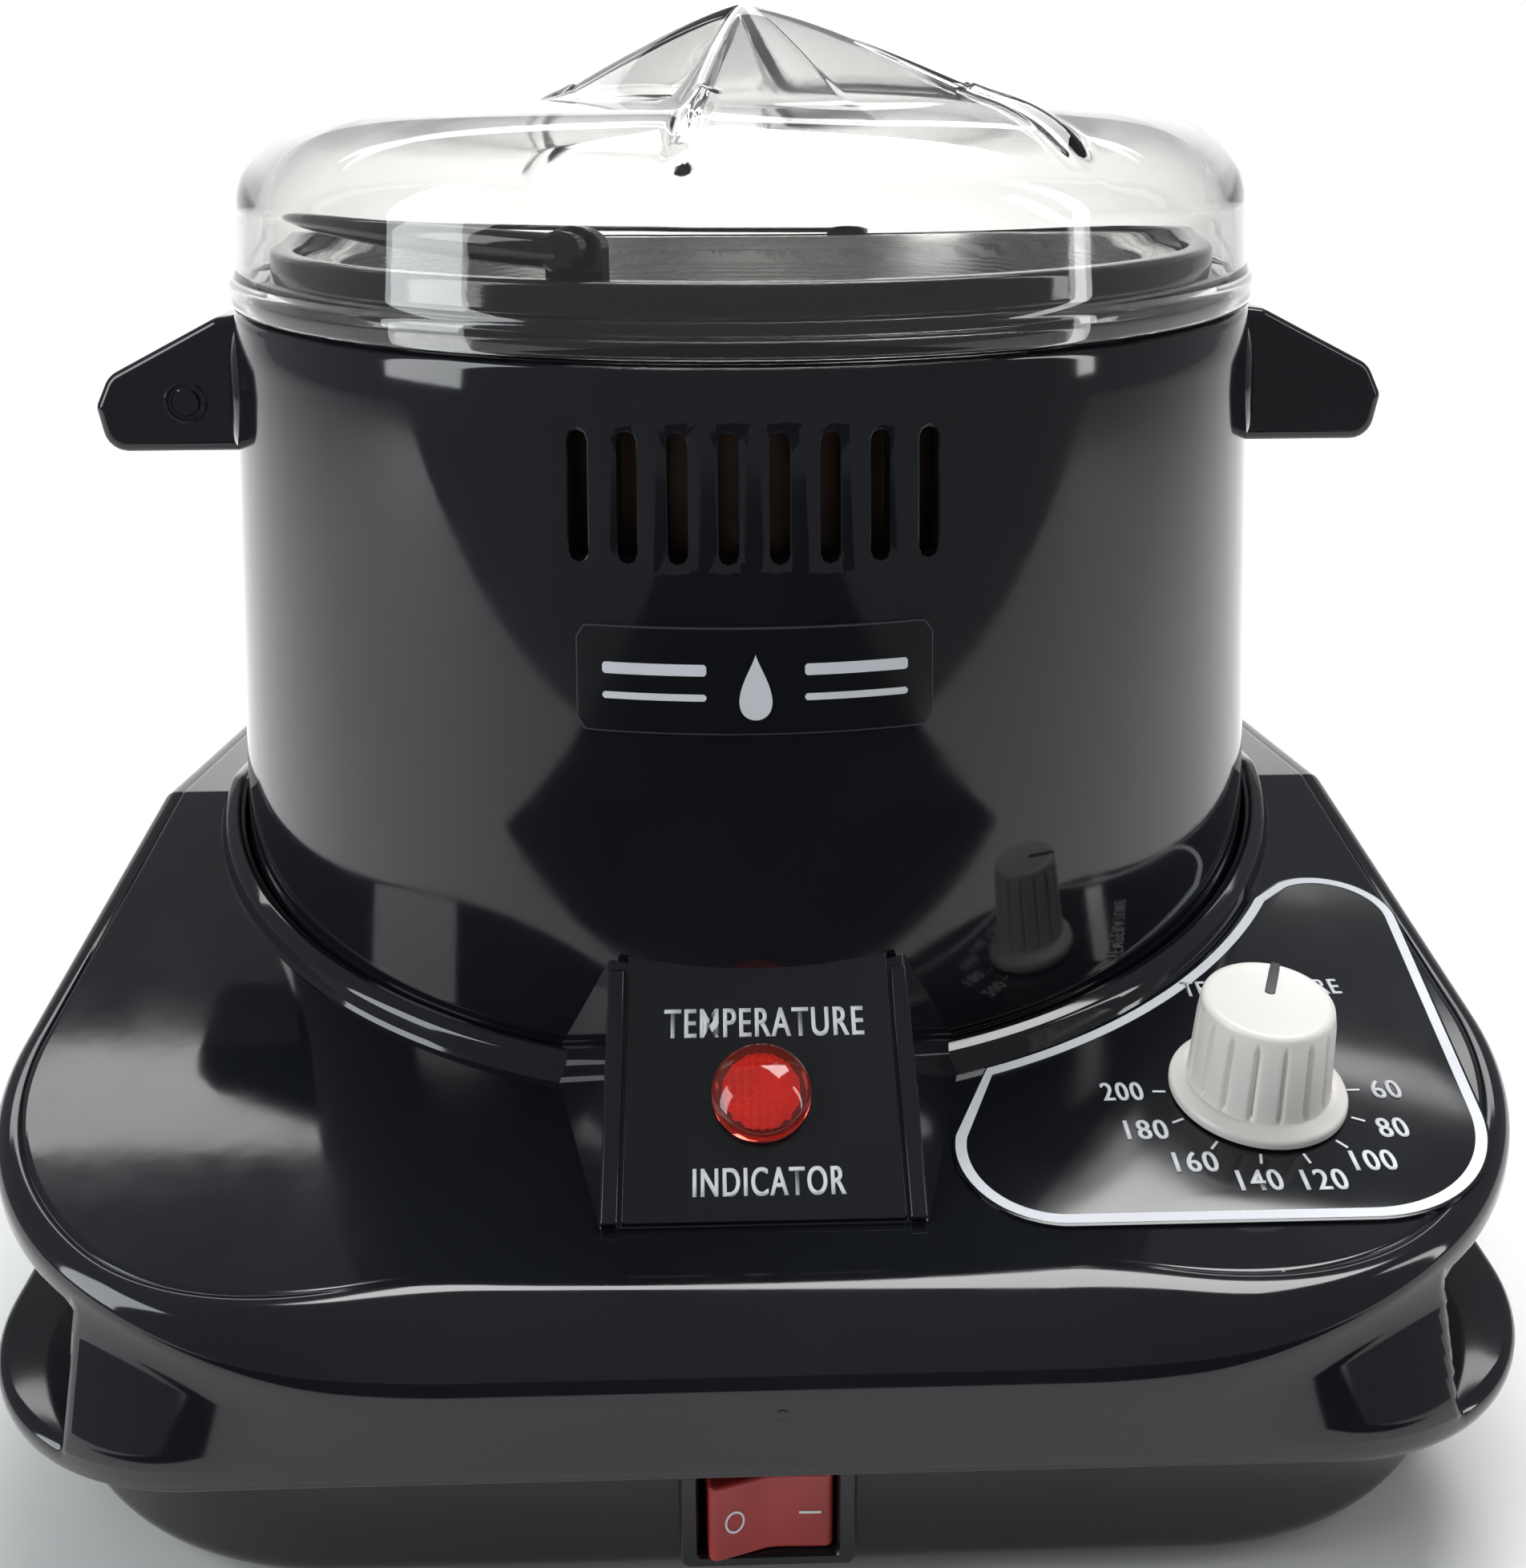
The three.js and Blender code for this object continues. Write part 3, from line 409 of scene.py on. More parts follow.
def reach_of(plan, inset):
    """Distance along each ray from (0, RIDGE_Y) to a plan moved inward by inset."""
    half, front, back, radius = plan
    middle = (front + back) / 2
    low, high = np.zeros(len(RAYS)), np.full(len(RAYS), 260.0)
    for _ in range(40):
        mid = (low + high) / 2
        qx = np.abs(mid * RAY_X) - (half - radius)
        qy = np.abs(RIDGE_Y + mid * RAY_Y - middle) - ((back - front) / 2 - radius)
        outside = np.hypot(np.maximum(qx, 0), np.maximum(qy, 0)) + np.minimum(np.maximum(qx, qy), 0)
        inside = outside - (radius - inset) < 0
        low = np.where(inside, mid, low)
        high = np.where(inside, high, mid)
    return (low + high) / 2


def reach_of_circle(radius):
    """Distance along each ray from (0, RIDGE_Y) to a circle about the pot's axis."""
    along = -RIDGE_Y * RAY_Y
    return along + np.sqrt(along * along - RIDGE_Y * RIDGE_Y + radius * radius)


def ray_ring(reach, z):
    x = reach * RAY_X
    y = RIDGE_Y + reach * RAY_Y
    heights = z(y) if callable(z) else np.full(len(RAYS), float(z)) if np.isscalar(z) else z
    return np.column_stack([x, y, heights])


def make_cover():
    """Sloped deck with its rolled edge and lip, the set-back side walls and the foot flange, in one skin."""
    outline = reach_of(DECK_PLAN, 0)
    x, y = outline * RAY_X, RIDGE_Y + outline * RAY_Y
    edge = deck_edge(x, y)
    rings = [ray_ring(reach_of_circle(DECK_HOLE), lambda y: deck_height(y) - WALL),
             ray_ring(reach_of_circle(DECK_HOLE), deck_height)]
    groove = 0.18 * (1 - front_share(x, y))
    for inset, depth in [(24, 0), (1.7, 0), (1.25, 0), (1.0, 1), (0.75, 0)]:
        reach = np.maximum(reach_of(DECK_PLAN, edge + inset), reach_of_circle(DECK_HOLE + 0.5))
        rings.append(ray_ring(reach, lambda y, d=depth: deck_height(y) - d * groove))
    for inward, down in quarter(edge, *np.linspace(90, 0, 13)):
        rings.append(ray_ring(reach_of(DECK_PLAN, inward), lambda y, d=down: deck_height(y) - d))
    lip_low = deck_height(y) - edge - LIP_DROP
    flange = reach_of(FLANGE_PLAN, 0)
    recess = np.maximum(RECESS_X / np.maximum(np.abs(RAY_X), 0.01), reach_of_circle(TOWER_RADIUS))
    wall_top = np.minimum(outline, recess)
    lip_round = np.minimum(0.9, (outline - wall_top) / 2)
    for inward, up in quarter(lip_round, 0, 30, 60, 90):
        rings.append(ray_ring(outline - inward, lip_low + up))
    for share in np.linspace(0, 1, 7):
        wall = np.minimum(outline + (flange - outline) * share, recess)
        rings.append(ray_ring(wall, lip_low + (FLANGE_TOP - lip_low) * share))
    for inward, down in quarter(FLANGE_ROUND, 90, 60, 30, 0):
        reach = np.maximum(np.minimum(flange, recess), flange - inward)
        rings.append(ray_ring(reach, FLANGE_TOP - down * 0.8))
    for inward, up in quarter(FLANGE_ROUND, 0, 30, 60, 90):
        rings.append(ray_ring(flange - inward, COVER_BOTTOM + up))
    mouth = reach_of(HOLLOW_PLAN, WALL + 4)
    hollow = reach_of(HOLLOW_PLAN, WALL)
    bore = reach_of_circle(BORE_RADIUS)
    inner_edge = edge + 1.5
    inner_top = deck_height(y) - inner_edge - WALL
    tower = np.maximum(hollow, bore)
    under_deck = np.maximum(reach_of(HOLLOW_PLAN, inner_edge + WALL), bore)
    rings += [ray_ring(mouth, COVER_BOTTOM), ray_ring(mouth, COVER_BOTTOM + WALL),
              ray_ring(hollow, COVER_BOTTOM + WALL), ray_ring(hollow, LEDGE_Z),
              ray_ring(tower, LEDGE_Z + 0.2), ray_ring(tower, inner_top),
              ray_ring(under_deck, lambda y: deck_height(y) - WALL)]
    add_piece("cover_skin", loft(rings, ring_shaped=True), GLOSS, "base", ["base_cover"], sharp=50)


def make_bead():
    """The rounded bead round the casing's foot, laid on the sloped deck."""
    profile = rounded([(86.4, -1.5, 0), (BEAD_OUTER + 0.8, -0.6, 0), (BEAD_OUTER, 0.5, 0.8),
                       (BEAD_OUTER - 0.7, 2.5, 1.2), (87.6, 3.2, 0.9), (87.1, 2.5, 0.3), (86.4, 2.4, 0.3)])
    rings = []
    for r, z in profile:
        ring = np.array(circle(r, z, 360))
        ring[:, 2] += deck_height(ring[:, 1])
        rings.append(ring)
    add_piece("foot_bead", loft(rings, ring_shaped=True), GLOSS, "base", sharp=60)


def carve(piece, cutter_solid):
    """Cuts a closed solid out of a piece's mesh."""
    cutter = add_piece("cutter", cutter_solid, BLACK, "base")
    cut = piece.modifiers.new("cut", "BOOLEAN")
    cut.object = cutter
    cut.solver = "EXACT"
    graph = bpy.context.evaluated_depsgraph_get()
    mesh = bpy.data.meshes.new_from_object(piece.evaluated_get(graph))
    piece.modifiers.remove(cut)
    piece.data = mesh
    bpy.data.objects.remove(cutter)


def make_pan():
    rings = [ray_ring(reach_of(PAN_PLAN, PAN_EDGE + 6), PAN_BOTTOM)]
    for up, inward in quarter(PAN_EDGE, *np.linspace(0, 90, 9)):
        rings.append(ray_ring(reach_of(PAN_PLAN, inward), PAN_BOTTOM + up))
    for inset, z in [(0, 20.5), (0.35, 20.8), (0.35, PAN_TOP - 0.4), (0.8, PAN_TOP), (9, PAN_TOP),
                     (9, PAN_TOP - WALL), (WALL, PAN_TOP - WALL), (WALL, PAN_BOTTOM + WALL)]:
        rings.append(ray_ring(reach_of(PAN_PLAN, inset), z))
    pan = add_piece("pan_shell", loft(rings), BLACK, "base", ["base_pan"])
    hole = prism(box_outline(18.9, 14, 0.6), SWITCH_Z - 6.5, SWITCH_Z + 6.5)
    shifted = [(x, y + PAN_PLAN[1], z) for x, y, z in hole[0]]
    carve(pan, (shifted, hole[1]))


def make_gate_mark():
    """The small mark that the moulding gate left on the cover's front."""
    profile = [(0, 0.10), (0.6, 0.10), (0.8, -0.05), (2.1, -0.02), (2.4, -0.3), (0, -0.3)]
    matrix = Matrix.Translation((1.5, FLANGE_PLAN[1], 33.2)) @ Matrix.Rotation(math.radians(90), 4, "X")
    add_piece("gate_mark", turned(profile, SMALL), GLOSS, "base", sharp=20, matrix=matrix)


CORNERS = ("front_right", "front_left", "back_right", "back_left")
FOOT_SPOTS = ((60, -94), (-60, -94), (60, 60), (-60, 60))
SCREW_SPOTS = ((72, -72), (-72, -72), (72, 42), (-72, 42))


def make_feet():
    profile = [(0, 0), (6.2, 0), (6.8, 0.25), (7, 0.8), (7, 2.7), (2.2, 2.7), (2.2, 5.8), (0, 6)]
    head = [(0, 1.9), (0.8, 1.9), (1.1, 1.15), (2.5, 1.15), (2.85, 1.45), (3, 2), (3, 2.7), (1.4, 2.7),
            (1.4, 18), (0, 19)]
    for corner, (fx, fy), (sx, sy) in zip(CORNERS, FOOT_SPOTS, SCREW_SPOTS):
        add_piece(f"rubber_foot_{corner}", turned(profile, SMALL), RUBBER, "base",
                  [f"foot_{corner}"], matrix=Matrix.Translation((fx, fy, 0)))
        add_piece(f"screw_{corner}", turned(head, SMALL), STEEL, "base",
                  [f"base_screw_{corner}"], matrix=Matrix.Translation((sx, sy, 0)))


# ---- casing ----------------------------------------------------------------------------------------

def casing_radius(z):
    return CASING_RIM_RADIUS + CASING_DRAFT * (RIM_Z - z)


def on_casing(angle, z, depth=0.0):
    """A point on the casing, at an angle from straight ahead and a depth under its outer face."""
    radius = casing_radius(z) - depth
    return (radius * math.sin(angle), -radius * math.cos(angle), z)


def slot_outline(grow):
    """Points round a vent slot as (sideways mm, height), matched one to one with cell_outline."""
    half = SLOT_WIDTH / 2 + grow
    low, high = SLOT_LOW + SLOT_WIDTH / 2, SLOT_HIGH - SLOT_WIDTH / 2
    points = []
    for k in range(5):
        angle = math.pi + math.pi * k / 4
        points.append((half * math.cos(angle), low + half * math.sin(angle)))
    points += [(half, low + (high - low) * k / 8) for k in range(1, 8)]
    for k in range(5):
        angle = math.pi * k / 4
        points.append((half * math.cos(angle), high + half * math.sin(angle)))
    points += [(-half, high - (high - low) * k / 8) for k in range(1, 8)]
    return points


CELL_LOW = 117.2
CELL_HIGH = 136.6


def cell_outline():
    """Points round the rectangle of casing that holds one slot, as (pitch fraction, height)."""
    points = [(-0.5 + k / 4, CELL_LOW) for k in range(5)]
    points += [(0.5, CELL_LOW + (CELL_HIGH - CELL_LOW) * k / 8) for k in range(1, 8)]
    points += [(0.5 - k / 4, CELL_HIGH) for k in range(5)]
    points += [(-0.5, CELL_HIGH - (CELL_HIGH - CELL_LOW) * k / 8) for k in range(1, 8)]
    return points


def make_casing():
    points, faces = [], []

    def strip(first, second):
        """Quads between two rows of points that are closed on themselves."""
        start = len(points)
        points.extend(first + second)
        count = len(first)
        for i in range(count):
            j = (i + 1) % count
            faces.append((start + i, start + j, start + count + j, start + count + i))

    slots_half = SLOT_COUNT / 2 * SLOT_PITCH
    rest = 2 * math.pi - 2 * slots_half
    rest_count = round(rest / (SLOT_PITCH / 4))
    angles = [-slots_half + SLOT_PITCH * k / 4 for k in range(SLOT_COUNT * 4)]
    angles += [slots_half + rest * k / rest_count for k in range(rest_count)]

    outer = [(CASING_BOTTOM, 0), (80, 0), (110, 0), (CELL_LOW, 0)]
    lip = [(CELL_HIGH, 0), (CASING_TOP - CASING_LIP, 0)]
    lip += [(CASING_TOP - down, inward) for inward, down in quarter(CASING_LIP, 22, 45, 68, 90)]
    lip += [(CASING_TOP, 5.2), (CASING_TOP - 0.3, 5.5), (CASING_TOP - WALL, 5.5), (CASING_TOP - WALL, WALL),
            (CELL_HIGH, WALL)]
    inner = [(CELL_LOW, WALL), (80, WALL), (CASING_BOTTOM, WALL), (CASING_BOTTOM, 0)]
    for rows in (outer, lip, inner):
        for (z0, d0), (z1, d1) in zip(rows, rows[1:]):
            strip([on_casing(a, z0, d0) for a in angles], [on_casing(a, z1, d1) for a in angles])
    for depth in (0, WALL):
        start = len(points)
        closing = [*angles[SLOT_COUNT * 4:], -slots_half + 2 * math.pi]
        for z in (CELL_LOW, CELL_HIGH):
            points.extend(on_casing(a, z, depth) for a in closing)
        count = len(closing)
        faces.extend((start + i, start + i + 1, start + count + i + 1, start + count + i)
                     for i in range(count - 1))
    for k in range(SLOT_COUNT):
        middle = (k - (SLOT_COUNT - 1) / 2) * SLOT_PITCH

        def slot_ring(grow, depth):
            return [on_casing(middle + x / casing_radius(z), z, depth) for x, z in slot_outline(grow)]

        def cell_ring(depth):
            return [on_casing(middle + x * SLOT_PITCH, z, depth) for x, z in cell_outline()]

        strip(cell_ring(0), slot_ring(0.22, 0))
        strip(slot_ring(0.22, 0), slot_ring(0.06, 0.07))
        strip(slot_ring(0.06, 0.07), slot_ring(0, 0.3))
        strip(slot_ring(0, 0.3), slot_ring(0, WALL))
        strip(slot_ring(0, WALL), cell_ring(WALL))
    add_piece("casing_shell", (points, faces), GLOSS, "base", ["outer_casing"], sharp=35)


def make_collar():
    foot = CASING_TOP + GAP
    profile = rounded([
        (69.8, foot, 0.2), (78.7, foot, 0.3), (78.7, foot + 2, 0.5), (77.5, foot + 2.5, 0.3),
        (77.4, foot + 3.6, 0.5), (75.6, foot + 4.1, 0.3), (75.5, RIM_Z + 8.8, 0.9),
        (71.8, RIM_Z + 8.8, 0.8), (71.8, 149.3, 0.2), (69.8, 149.3, 0.3),
    ], 4)
    add_piece("collar", turned(profile, 360), GLOSS, "container", ["collar_ring"], sharp=45)


def handle_outline(side):
    """The wedge seen from the front, as (x, height), with rounded corners."""
    corners = [(78, 2.6, 0), (85.5, 3.6, 3), (HANDLE_TIP_X - 2.4, 13, 4.5), (HANDLE_TIP_X, 18, 2.5),
               (HANDLE_TIP_X - 1.4, HANDLE_DROP, 4), (78, HANDLE_DROP, 0)]
    return [(side * x, z) for x, z in rounded([(x, RIM_Z - drop, r) for x, drop, r in corners], 6)]


def make_pad(side):
    """The oval swelling where a handle meets the casing."""
    rings = []
    swelling = [(1.03, -0.6), (1.0, 0.0), (0.97, 0.45), (0.92, 0.8), (0.85, 1.05), (0.76, 1.2), (0.5, 1.3)]
    for scale, rise in swelling:
        ring = []
        for a in np.linspace(0, 2 * math.pi, 96, endpoint=False):
            z = RIM_Z - PAD_DROP + PAD_HALF_HEIGHT * scale * math.sin(a)
            angle = side * math.pi / 2 + PAD_HALF_LENGTH * scale * math.cos(a) / casing_radius(z)
            ring.append(on_casing(angle, z, -rise))
        rings.append(ring)
    return loft(rings)


def make_handles():
    for side, name in ((1, "right"), (-1, "left")):
        outline = handle_outline(side)
        solid = loft([[(x, y, z) for x, z in outline] for y in (-HANDLE_HALF, HANDLE_HALF)])
        add_piece(f"{name}_handle", solid, GLOSS, "base", [f"handle_{name}"], bevel=1.8, sharp=30)
        add_piece(f"{name}_handle_pad", make_pad(side), GLOSS, "base", sharp=60)
    profile = [(0, 0.3), (2.1, 0.25), (2.5, -0.1), (2.75, -0.1), (3.0, 0.2), (3.3, 0.2), (3.6, -0.1),
               (3.6, -1.4), (0, -1.4)]
    seat = Matrix.Translation((-PLUG_X, -HANDLE_HALF, RIM_Z - PLUG_DROP))
    add_piece("plug", turned(profile, SMALL), GLOSS, "base", ["handle_plug"], sharp=25,
              matrix=seat @ Matrix.Rotation(math.radians(90), 4, "X"))


def make_name_plate():
    """A blank film plate with a faint edge and a plain drop between two bars."""
    def panel(middle, half, low, high, radius, base, lift):
        """A curved rounded rectangle made of upright strips, so that it follows the casing."""
        points, faces = [], []
        columns = 48
        for k in range(columns + 1):
            x = -half + 2 * half * k / columns
            near = max(abs(x) - (half - radius), 0)
            cut = radius - math.sqrt(max(radius * radius - near * near, 0))
            for depth, z in ((base, low + cut), (lift, low + cut), (lift, high - cut), (base, high - cut)):
                points.append(on_casing((middle + x) / NAME_RADIUS, z, -depth))
        for k in range(columns):
            for i in range(4):
                j = (i + 1) % 4
                faces.append((4 * k + i, 4 * k + j, 4 * k + 4 + j, 4 * k + 4 + i))
        faces += [(0, 1, 2, 3), tuple(4 * columns + i for i in range(4))]
        return points, faces

    add_piece("name_film_edge", panel(0, 23, 96.7, 110.7, 1.6, 0.02, 0.40), FAINT, "base")
    film = panel(0, 22.8, 96.9, 110.5, 1.5, 0.02, 0.46)
    add_piece("name_film", film, LABEL, "base", ["name_plate"])
    drop = []
    for k in range(48):
        a = 2 * math.pi * k / 48
        pinch = math.sin(a / 2) ** 1.6
        drop.append((3.0 * math.sin(a) * pinch, 103.0 + 4.3 * math.cos(a)))
    rings = [[on_casing(x / NAME_RADIUS, z, -lift) for x, z in drop] for lift in (0.4, 0.62)]
    add_piece("name_motif_drop", loft(rings), PRINT, "base")
    for side, end in ((-1, "left"), (1, "right")):
        for z, half, level in ((105.2, 0.75, "upper"), (101.6, 0.45, "lower")):
            bar = panel(side * 12.85, 6.65, z - half, z + half, 0.3, 0.4, 0.54)
            add_piece(f"name_motif_{level}_{end}", bar, PRINT, "base")


# ---- heater, container and bail --------------------------------------------------------------------

def make_cups():
    well = rounded([
        (0, 62, 0), (WELL_RADIUS, 62, 3), (WELL_RADIUS, 142.4, 0.6), (75.7, 142.4, 0.3),
        (75.7, CASING_TOP, 0.3),
        (WELL_RADIUS - 1.4, CASING_TOP, 0.8), (WELL_RADIUS - 1.4, 63.4, 2), (0, 63.4, 0),
    ], 5)
    add_piece("well", turned(well), ALUMINIUM, "base", ["heater_well"])
    radius = CONTAINER_RADIUS
    rim = CONTAINER_RIM_Z
    cup = rounded([
        (0, CONTAINER_BOTTOM, 0), (radius, CONTAINER_BOTTOM, 4), (radius, rim - 1.2, 0.8),
        (70.8, rim - 1.2, 0.4), (70.8, rim, 0.5), (radius - 1, rim, 1.2),
        (radius - 1, CONTAINER_BOTTOM + 1, 3.6), (0, CONTAINER_BOTTOM + 1, 0),
    ], 6)
    add_piece("container_cup", turned(cup), ALUMINIUM, "container", ["wax_container"])


def bail_frame():
    return Matrix.Rotation(math.radians(BAIL_AZIMUTH), 4, "Z")


def make_bail():
    rings = []
    count = 72
    for k in range(count + 1):
        a = math.pi / 2 + math.pi * k / count
        # the wire is flattened toward its two ends, where it clasps the pins
        out = Vector((math.cos(a), math.sin(a), 0))
        ring = []
        for b in np.linspace(0, 2 * math.pi, 32, endpoint=False):
            swell = 1 + 0.10 * math.cos(math.pi * (k / count * 2 - 1)) ** 4
            r = BAIL_WIRE * min(swell, 1.08)
            ring.append(out * (BAIL_RADIUS + BAIL_WIRE * math.cos(b)) + Vector((0, 0, r * math.sin(b))))
        rings.append(ring)
    tilt = Matrix.Rotation(math.radians(BAIL_TILT), 4, "Y")
    frame_of = Matrix.Translation((0, 0, BAIL_PIVOT_Z)) @ bail_frame() @ tilt
    add_piece("bail_hoop", loft(rings), GLOSS, "bail", ["bail"], sharp=60, matrix=frame_of)
    boss = [(0, -4.2), (1.4, -4.2), (1.4, 1.2), (2.3, 1.2), (2.9, 1.8), (2.9, 4.2), (2.3, 5.0), (0, 5.2)]
    for side, name in ((-1, "front"), (1, "back")):
        out = Matrix.Rotation(math.radians(-90 * side), 4, "X")
        seat = frame_of @ Matrix.Translation((0, side * (BAIL_RADIUS - 3), 0)) @ out
        add_piece(f"bail_end_{name}", turned(boss, SMALL), GLOSS, "bail", sharp=35, matrix=seat)
        outline = [(-4, 0)]
        outline += [(4 * math.cos(a), 5.1 + 4 * math.sin(a)) for a in np.linspace(math.pi, 0, 25)]
        outline += [(4, 0)]
        flat = loft([[(x, side * 66.6 + half, z) for x, z in outline] for half in (-1.6, 1.6)])
        add_piece(f"lug_{name}", flat, GLOSS, "container", [f"bail_lug_{name}"], bevel=0.6,
                  matrix=Matrix.Translation((0, 0, CONTAINER_RIM_Z + GAP - 0.2)) @ bail_frame())


# ---- lid -------------------------------------------------------------------------------------------

def lid_height(radius, angle):
    """Height of the lid's outer face over its rim."""
    shoulder = LID_TOP_Z - LID_SHOULDER_Z
    over = np.maximum(radius - LID_CROWN_RADIUS, 0) / (LID_SHOULDER_RADIUS - LID_CROWN_RADIUS)
    dome = LID_SHOULDER_Z + shoulder * np.sqrt(np.maximum(1 - over * over, 0)) \
        + 1.5 * np.maximum(1 - (radius / LID_SHOULDER_RADIUS) ** 2, 0)
    from_axis = np.abs(np.arcsin(np.clip(np.sin(angle - GRIP_TURN), -1, 1)))
    away = (from_axis - GRIP_SPREAD) * radius
    soft = 1.1
    outside = (away + np.sqrt(away * away + soft * soft)) / 2
    inside = (-away + np.sqrt(away * away + soft * soft)) / 2
    beyond = np.maximum(radius - 62, 0) / 6
    apex = GRIP_APEX_Z - 0.0705 * radius ** 1.31 - beyond * beyond
    grip = apex - 0.1 * inside - 1.3 * outside + 0.6
    fillet = 2.2
    gap = grip - dome
    top = (grip + dome + np.sqrt(gap * gap + fillet * fillet)) / 2 - fillet * 0.12 * np.exp(-(gap / 6) ** 2)
    rib = 1.15 * np.exp(-(away / 1.5) ** 2)
    rib *= np.clip((radius - 30) / 25, 0, 1) * np.clip((76.5 - radius) / 3, 0, 1)
    return top + rib * np.where(gap < 2, 1.0, 0.45)


def lid_rings(thickness):
    angles = np.linspace(0, 2 * math.pi, 720, endpoint=False)
    rings = []

    def ring(radius, heights):
        r = radius - thickness
        rings.append(np.column_stack([r * np.sin(angles), -r * np.cos(angles), RIM_Z + heights]))

    flat = np.ones(len(angles))
    if thickness == 0:
        for radius, z in ((81.2, 0.0), (81.75, 0.15), (82.0, 0.6), (82.0, 3.6), (81.75, 4.1), (81.2, 4.7)):
            ring(radius, z * flat)
    else:
        for radius, z in ((LID_RADIUS, 0.0), (LID_RADIUS - 0.05, 2.0), (81.3, 4.0)):
            ring(radius, z * flat)
    for z in np.linspace(6, LID_SHOULDER_Z, 6):
        share = z / LID_SHOULDER_Z
        ring(LID_RADIUS - (LID_RADIUS - LID_SHOULDER_RADIUS) * share, (z - thickness * share) * flat)
    radii = [LID_CROWN_RADIUS + (LID_SHOULDER_RADIUS - LID_CROWN_RADIUS) * math.cos(t)
             for t in np.radians(np.linspace(5, 90, 24))]
    radii += list(np.linspace(LID_CROWN_RADIUS - 0.8, thickness + 0.05, 70))
    for radius in radii:
        ring(radius, lid_height(radius * flat, angles) - thickness)
    return rings


def make_lid():
    shell = loft(lid_rings(LID_WALL)[::-1] + lid_rings(0))
    add_piece("lid_shell", shell, CLEAR, "lid", ["lid"], sharp=60)


# ---- dial, knob and indicator ----------------------------------------------------------------------

def dial_frame():
    tilt = Matrix.Rotation(math.atan(DECK_SLOPE), 4, "X")
    return Matrix.Translation((DIAL_X, DIAL_Y, float(deck_height(DIAL_Y)))) @ tilt


PANEL_LOW_Z = float(deck_height(PANEL_LOW_Y))
PANEL_ANGLE = math.atan2(PANEL_HIGH_Z - PANEL_LOW_Z, PANEL_HIGH_Y - PANEL_LOW_Y)
PANEL_LENGTH = math.hypot(PANEL_HIGH_Z - PANEL_LOW_Z, PANEL_HIGH_Y - PANEL_LOW_Y)
LAMP_ALONG = PANEL_LENGTH * 0.47


def panel_frame():
    return Matrix.Translation((0, PANEL_LOW_Y, PANEL_LOW_Z)) @ Matrix.Rotation(PANEL_ANGLE, 4, "X")


def arc(cx, cy, radius, start, end, steps=28):
    angles = np.radians(np.linspace(start, end, steps))
    return [(cx + radius * math.cos(a), cy + radius * math.sin(a)) for a in angles]


def dial_outline(shrink=0.0):
    points = arc(73, -94.2, 20.2 - shrink, -90, -6)
    points += arc(87.6, -52.4, 10.4 - shrink, -4, 118)
    points += arc(0, 0, 91 + shrink, -31.5, -70.5, 60)
    points += arc(36.4, -101.9, 12.5 - shrink, 165, 270)
    return points


def draped(outline, lift):
    return [(x, y, float(deck_height(y)) + lift) for x, y in outline]


def add_words(name, words, middle, width, height, matrix, body="base"):
    """Raised print of generic words or numbers, sized to the given width and height in millimetres."""
    curve = bpy.data.curves.new(name, "FONT")
    curve.body = words
    curve.offset = 0.004
    curve.space_character = 1.14
    text = bpy.data.objects.new(name, curve)
    scene.collection.objects.link(text)
    bpy.context.view_layer.update()
    graph = bpy.context.evaluated_depsgraph_get()
    mesh = bpy.data.meshes.new_from_object(text.evaluated_get(graph))
    bpy.data.objects.remove(text)
    flat = np.array([v.co for v in mesh.vertices])
    low, high = flat.min(0), flat.max(0)
    centre = (low + high) / 2
    scale = (width / (high[0] - low[0]), height / (high[1] - low[1]))
    points, faces = [], []
    for shift, lift in ((-BOLD, 0), (0, 0.01), (BOLD, 0.02)):
        start = len(points)
        points += [matrix @ Vector(((x - centre[0]) * scale[0] + middle[0] + shift,
                                    (y - centre[1]) * scale[1] + middle[1], lift)) for x, y, _ in flat]
        faces += [tuple(start + v for v in p.vertices) for p in mesh.polygons]
    piece = add_piece(name, (points, faces), PRINT, body)
    thick = piece.modifiers.new("thick", "SOLIDIFY")
    thick.thickness = 0.00006
    thick.offset = 0


def make_dial():
    layers = ((0, 0.02), (0, 0.42), (0.25, 0.5))
    sheet = loft([draped(dial_outline(shrink), lift) for shrink, lift in layers])
    add_piece("dial_film", sheet, LABEL, "base", ["dial_label"])
    border = ((0.35, 0.45), (0.35, 0.55), (1.75, 0.55), (1.75, 0.45))
    line = loft([draped(dial_outline(shrink), lift) for shrink, lift in border], ring_shaped=True)
    add_piece("dial_line", line, PRINT, "base")
    flat = dial_frame() @ Matrix.Translation((0, 0, 0.57))
    for value, turn in zip(range(60, 201, 20), range(90, 273, 26)):
        angle = math.radians(90 - turn)
        reach = 17.0 if value < 100 else 17.6
        spot = (reach * math.cos(angle), 16.5 * math.sin(angle))
        width = 3.7 if value < 100 else 5.3
        add_words(f"dial_number_{value}", str(value), spot, width, 3.5, flat)
        tick = prism([(11.9, -0.17), (13.6, -0.17), (13.6, 0.17), (11.9, 0.17)], -0.04, 0.03)
        add_piece(f"dial_tick_{value}", tick, PRINT, "base",
                  matrix=flat @ Matrix.Rotation(angle, 4, "Z"))
    add_words("dial_word", "TEMPERATURE", (72 - DIAL_X, -69.8 - DIAL_Y), 22.5, 3.4, flat)


def knob_ring(radius, depth, z):
    """A ring with sixteen broad ribs and narrow grooves between them."""
    ring = []
    for a in np.linspace(0, 2 * math.pi, 384, endpoint=False):
        groove = math.exp(-(math.sin(a * 8) / 0.3) ** 2)
        r = radius - depth * groove
        ring.append((r * math.cos(a), r * math.sin(a), z))
    return ring


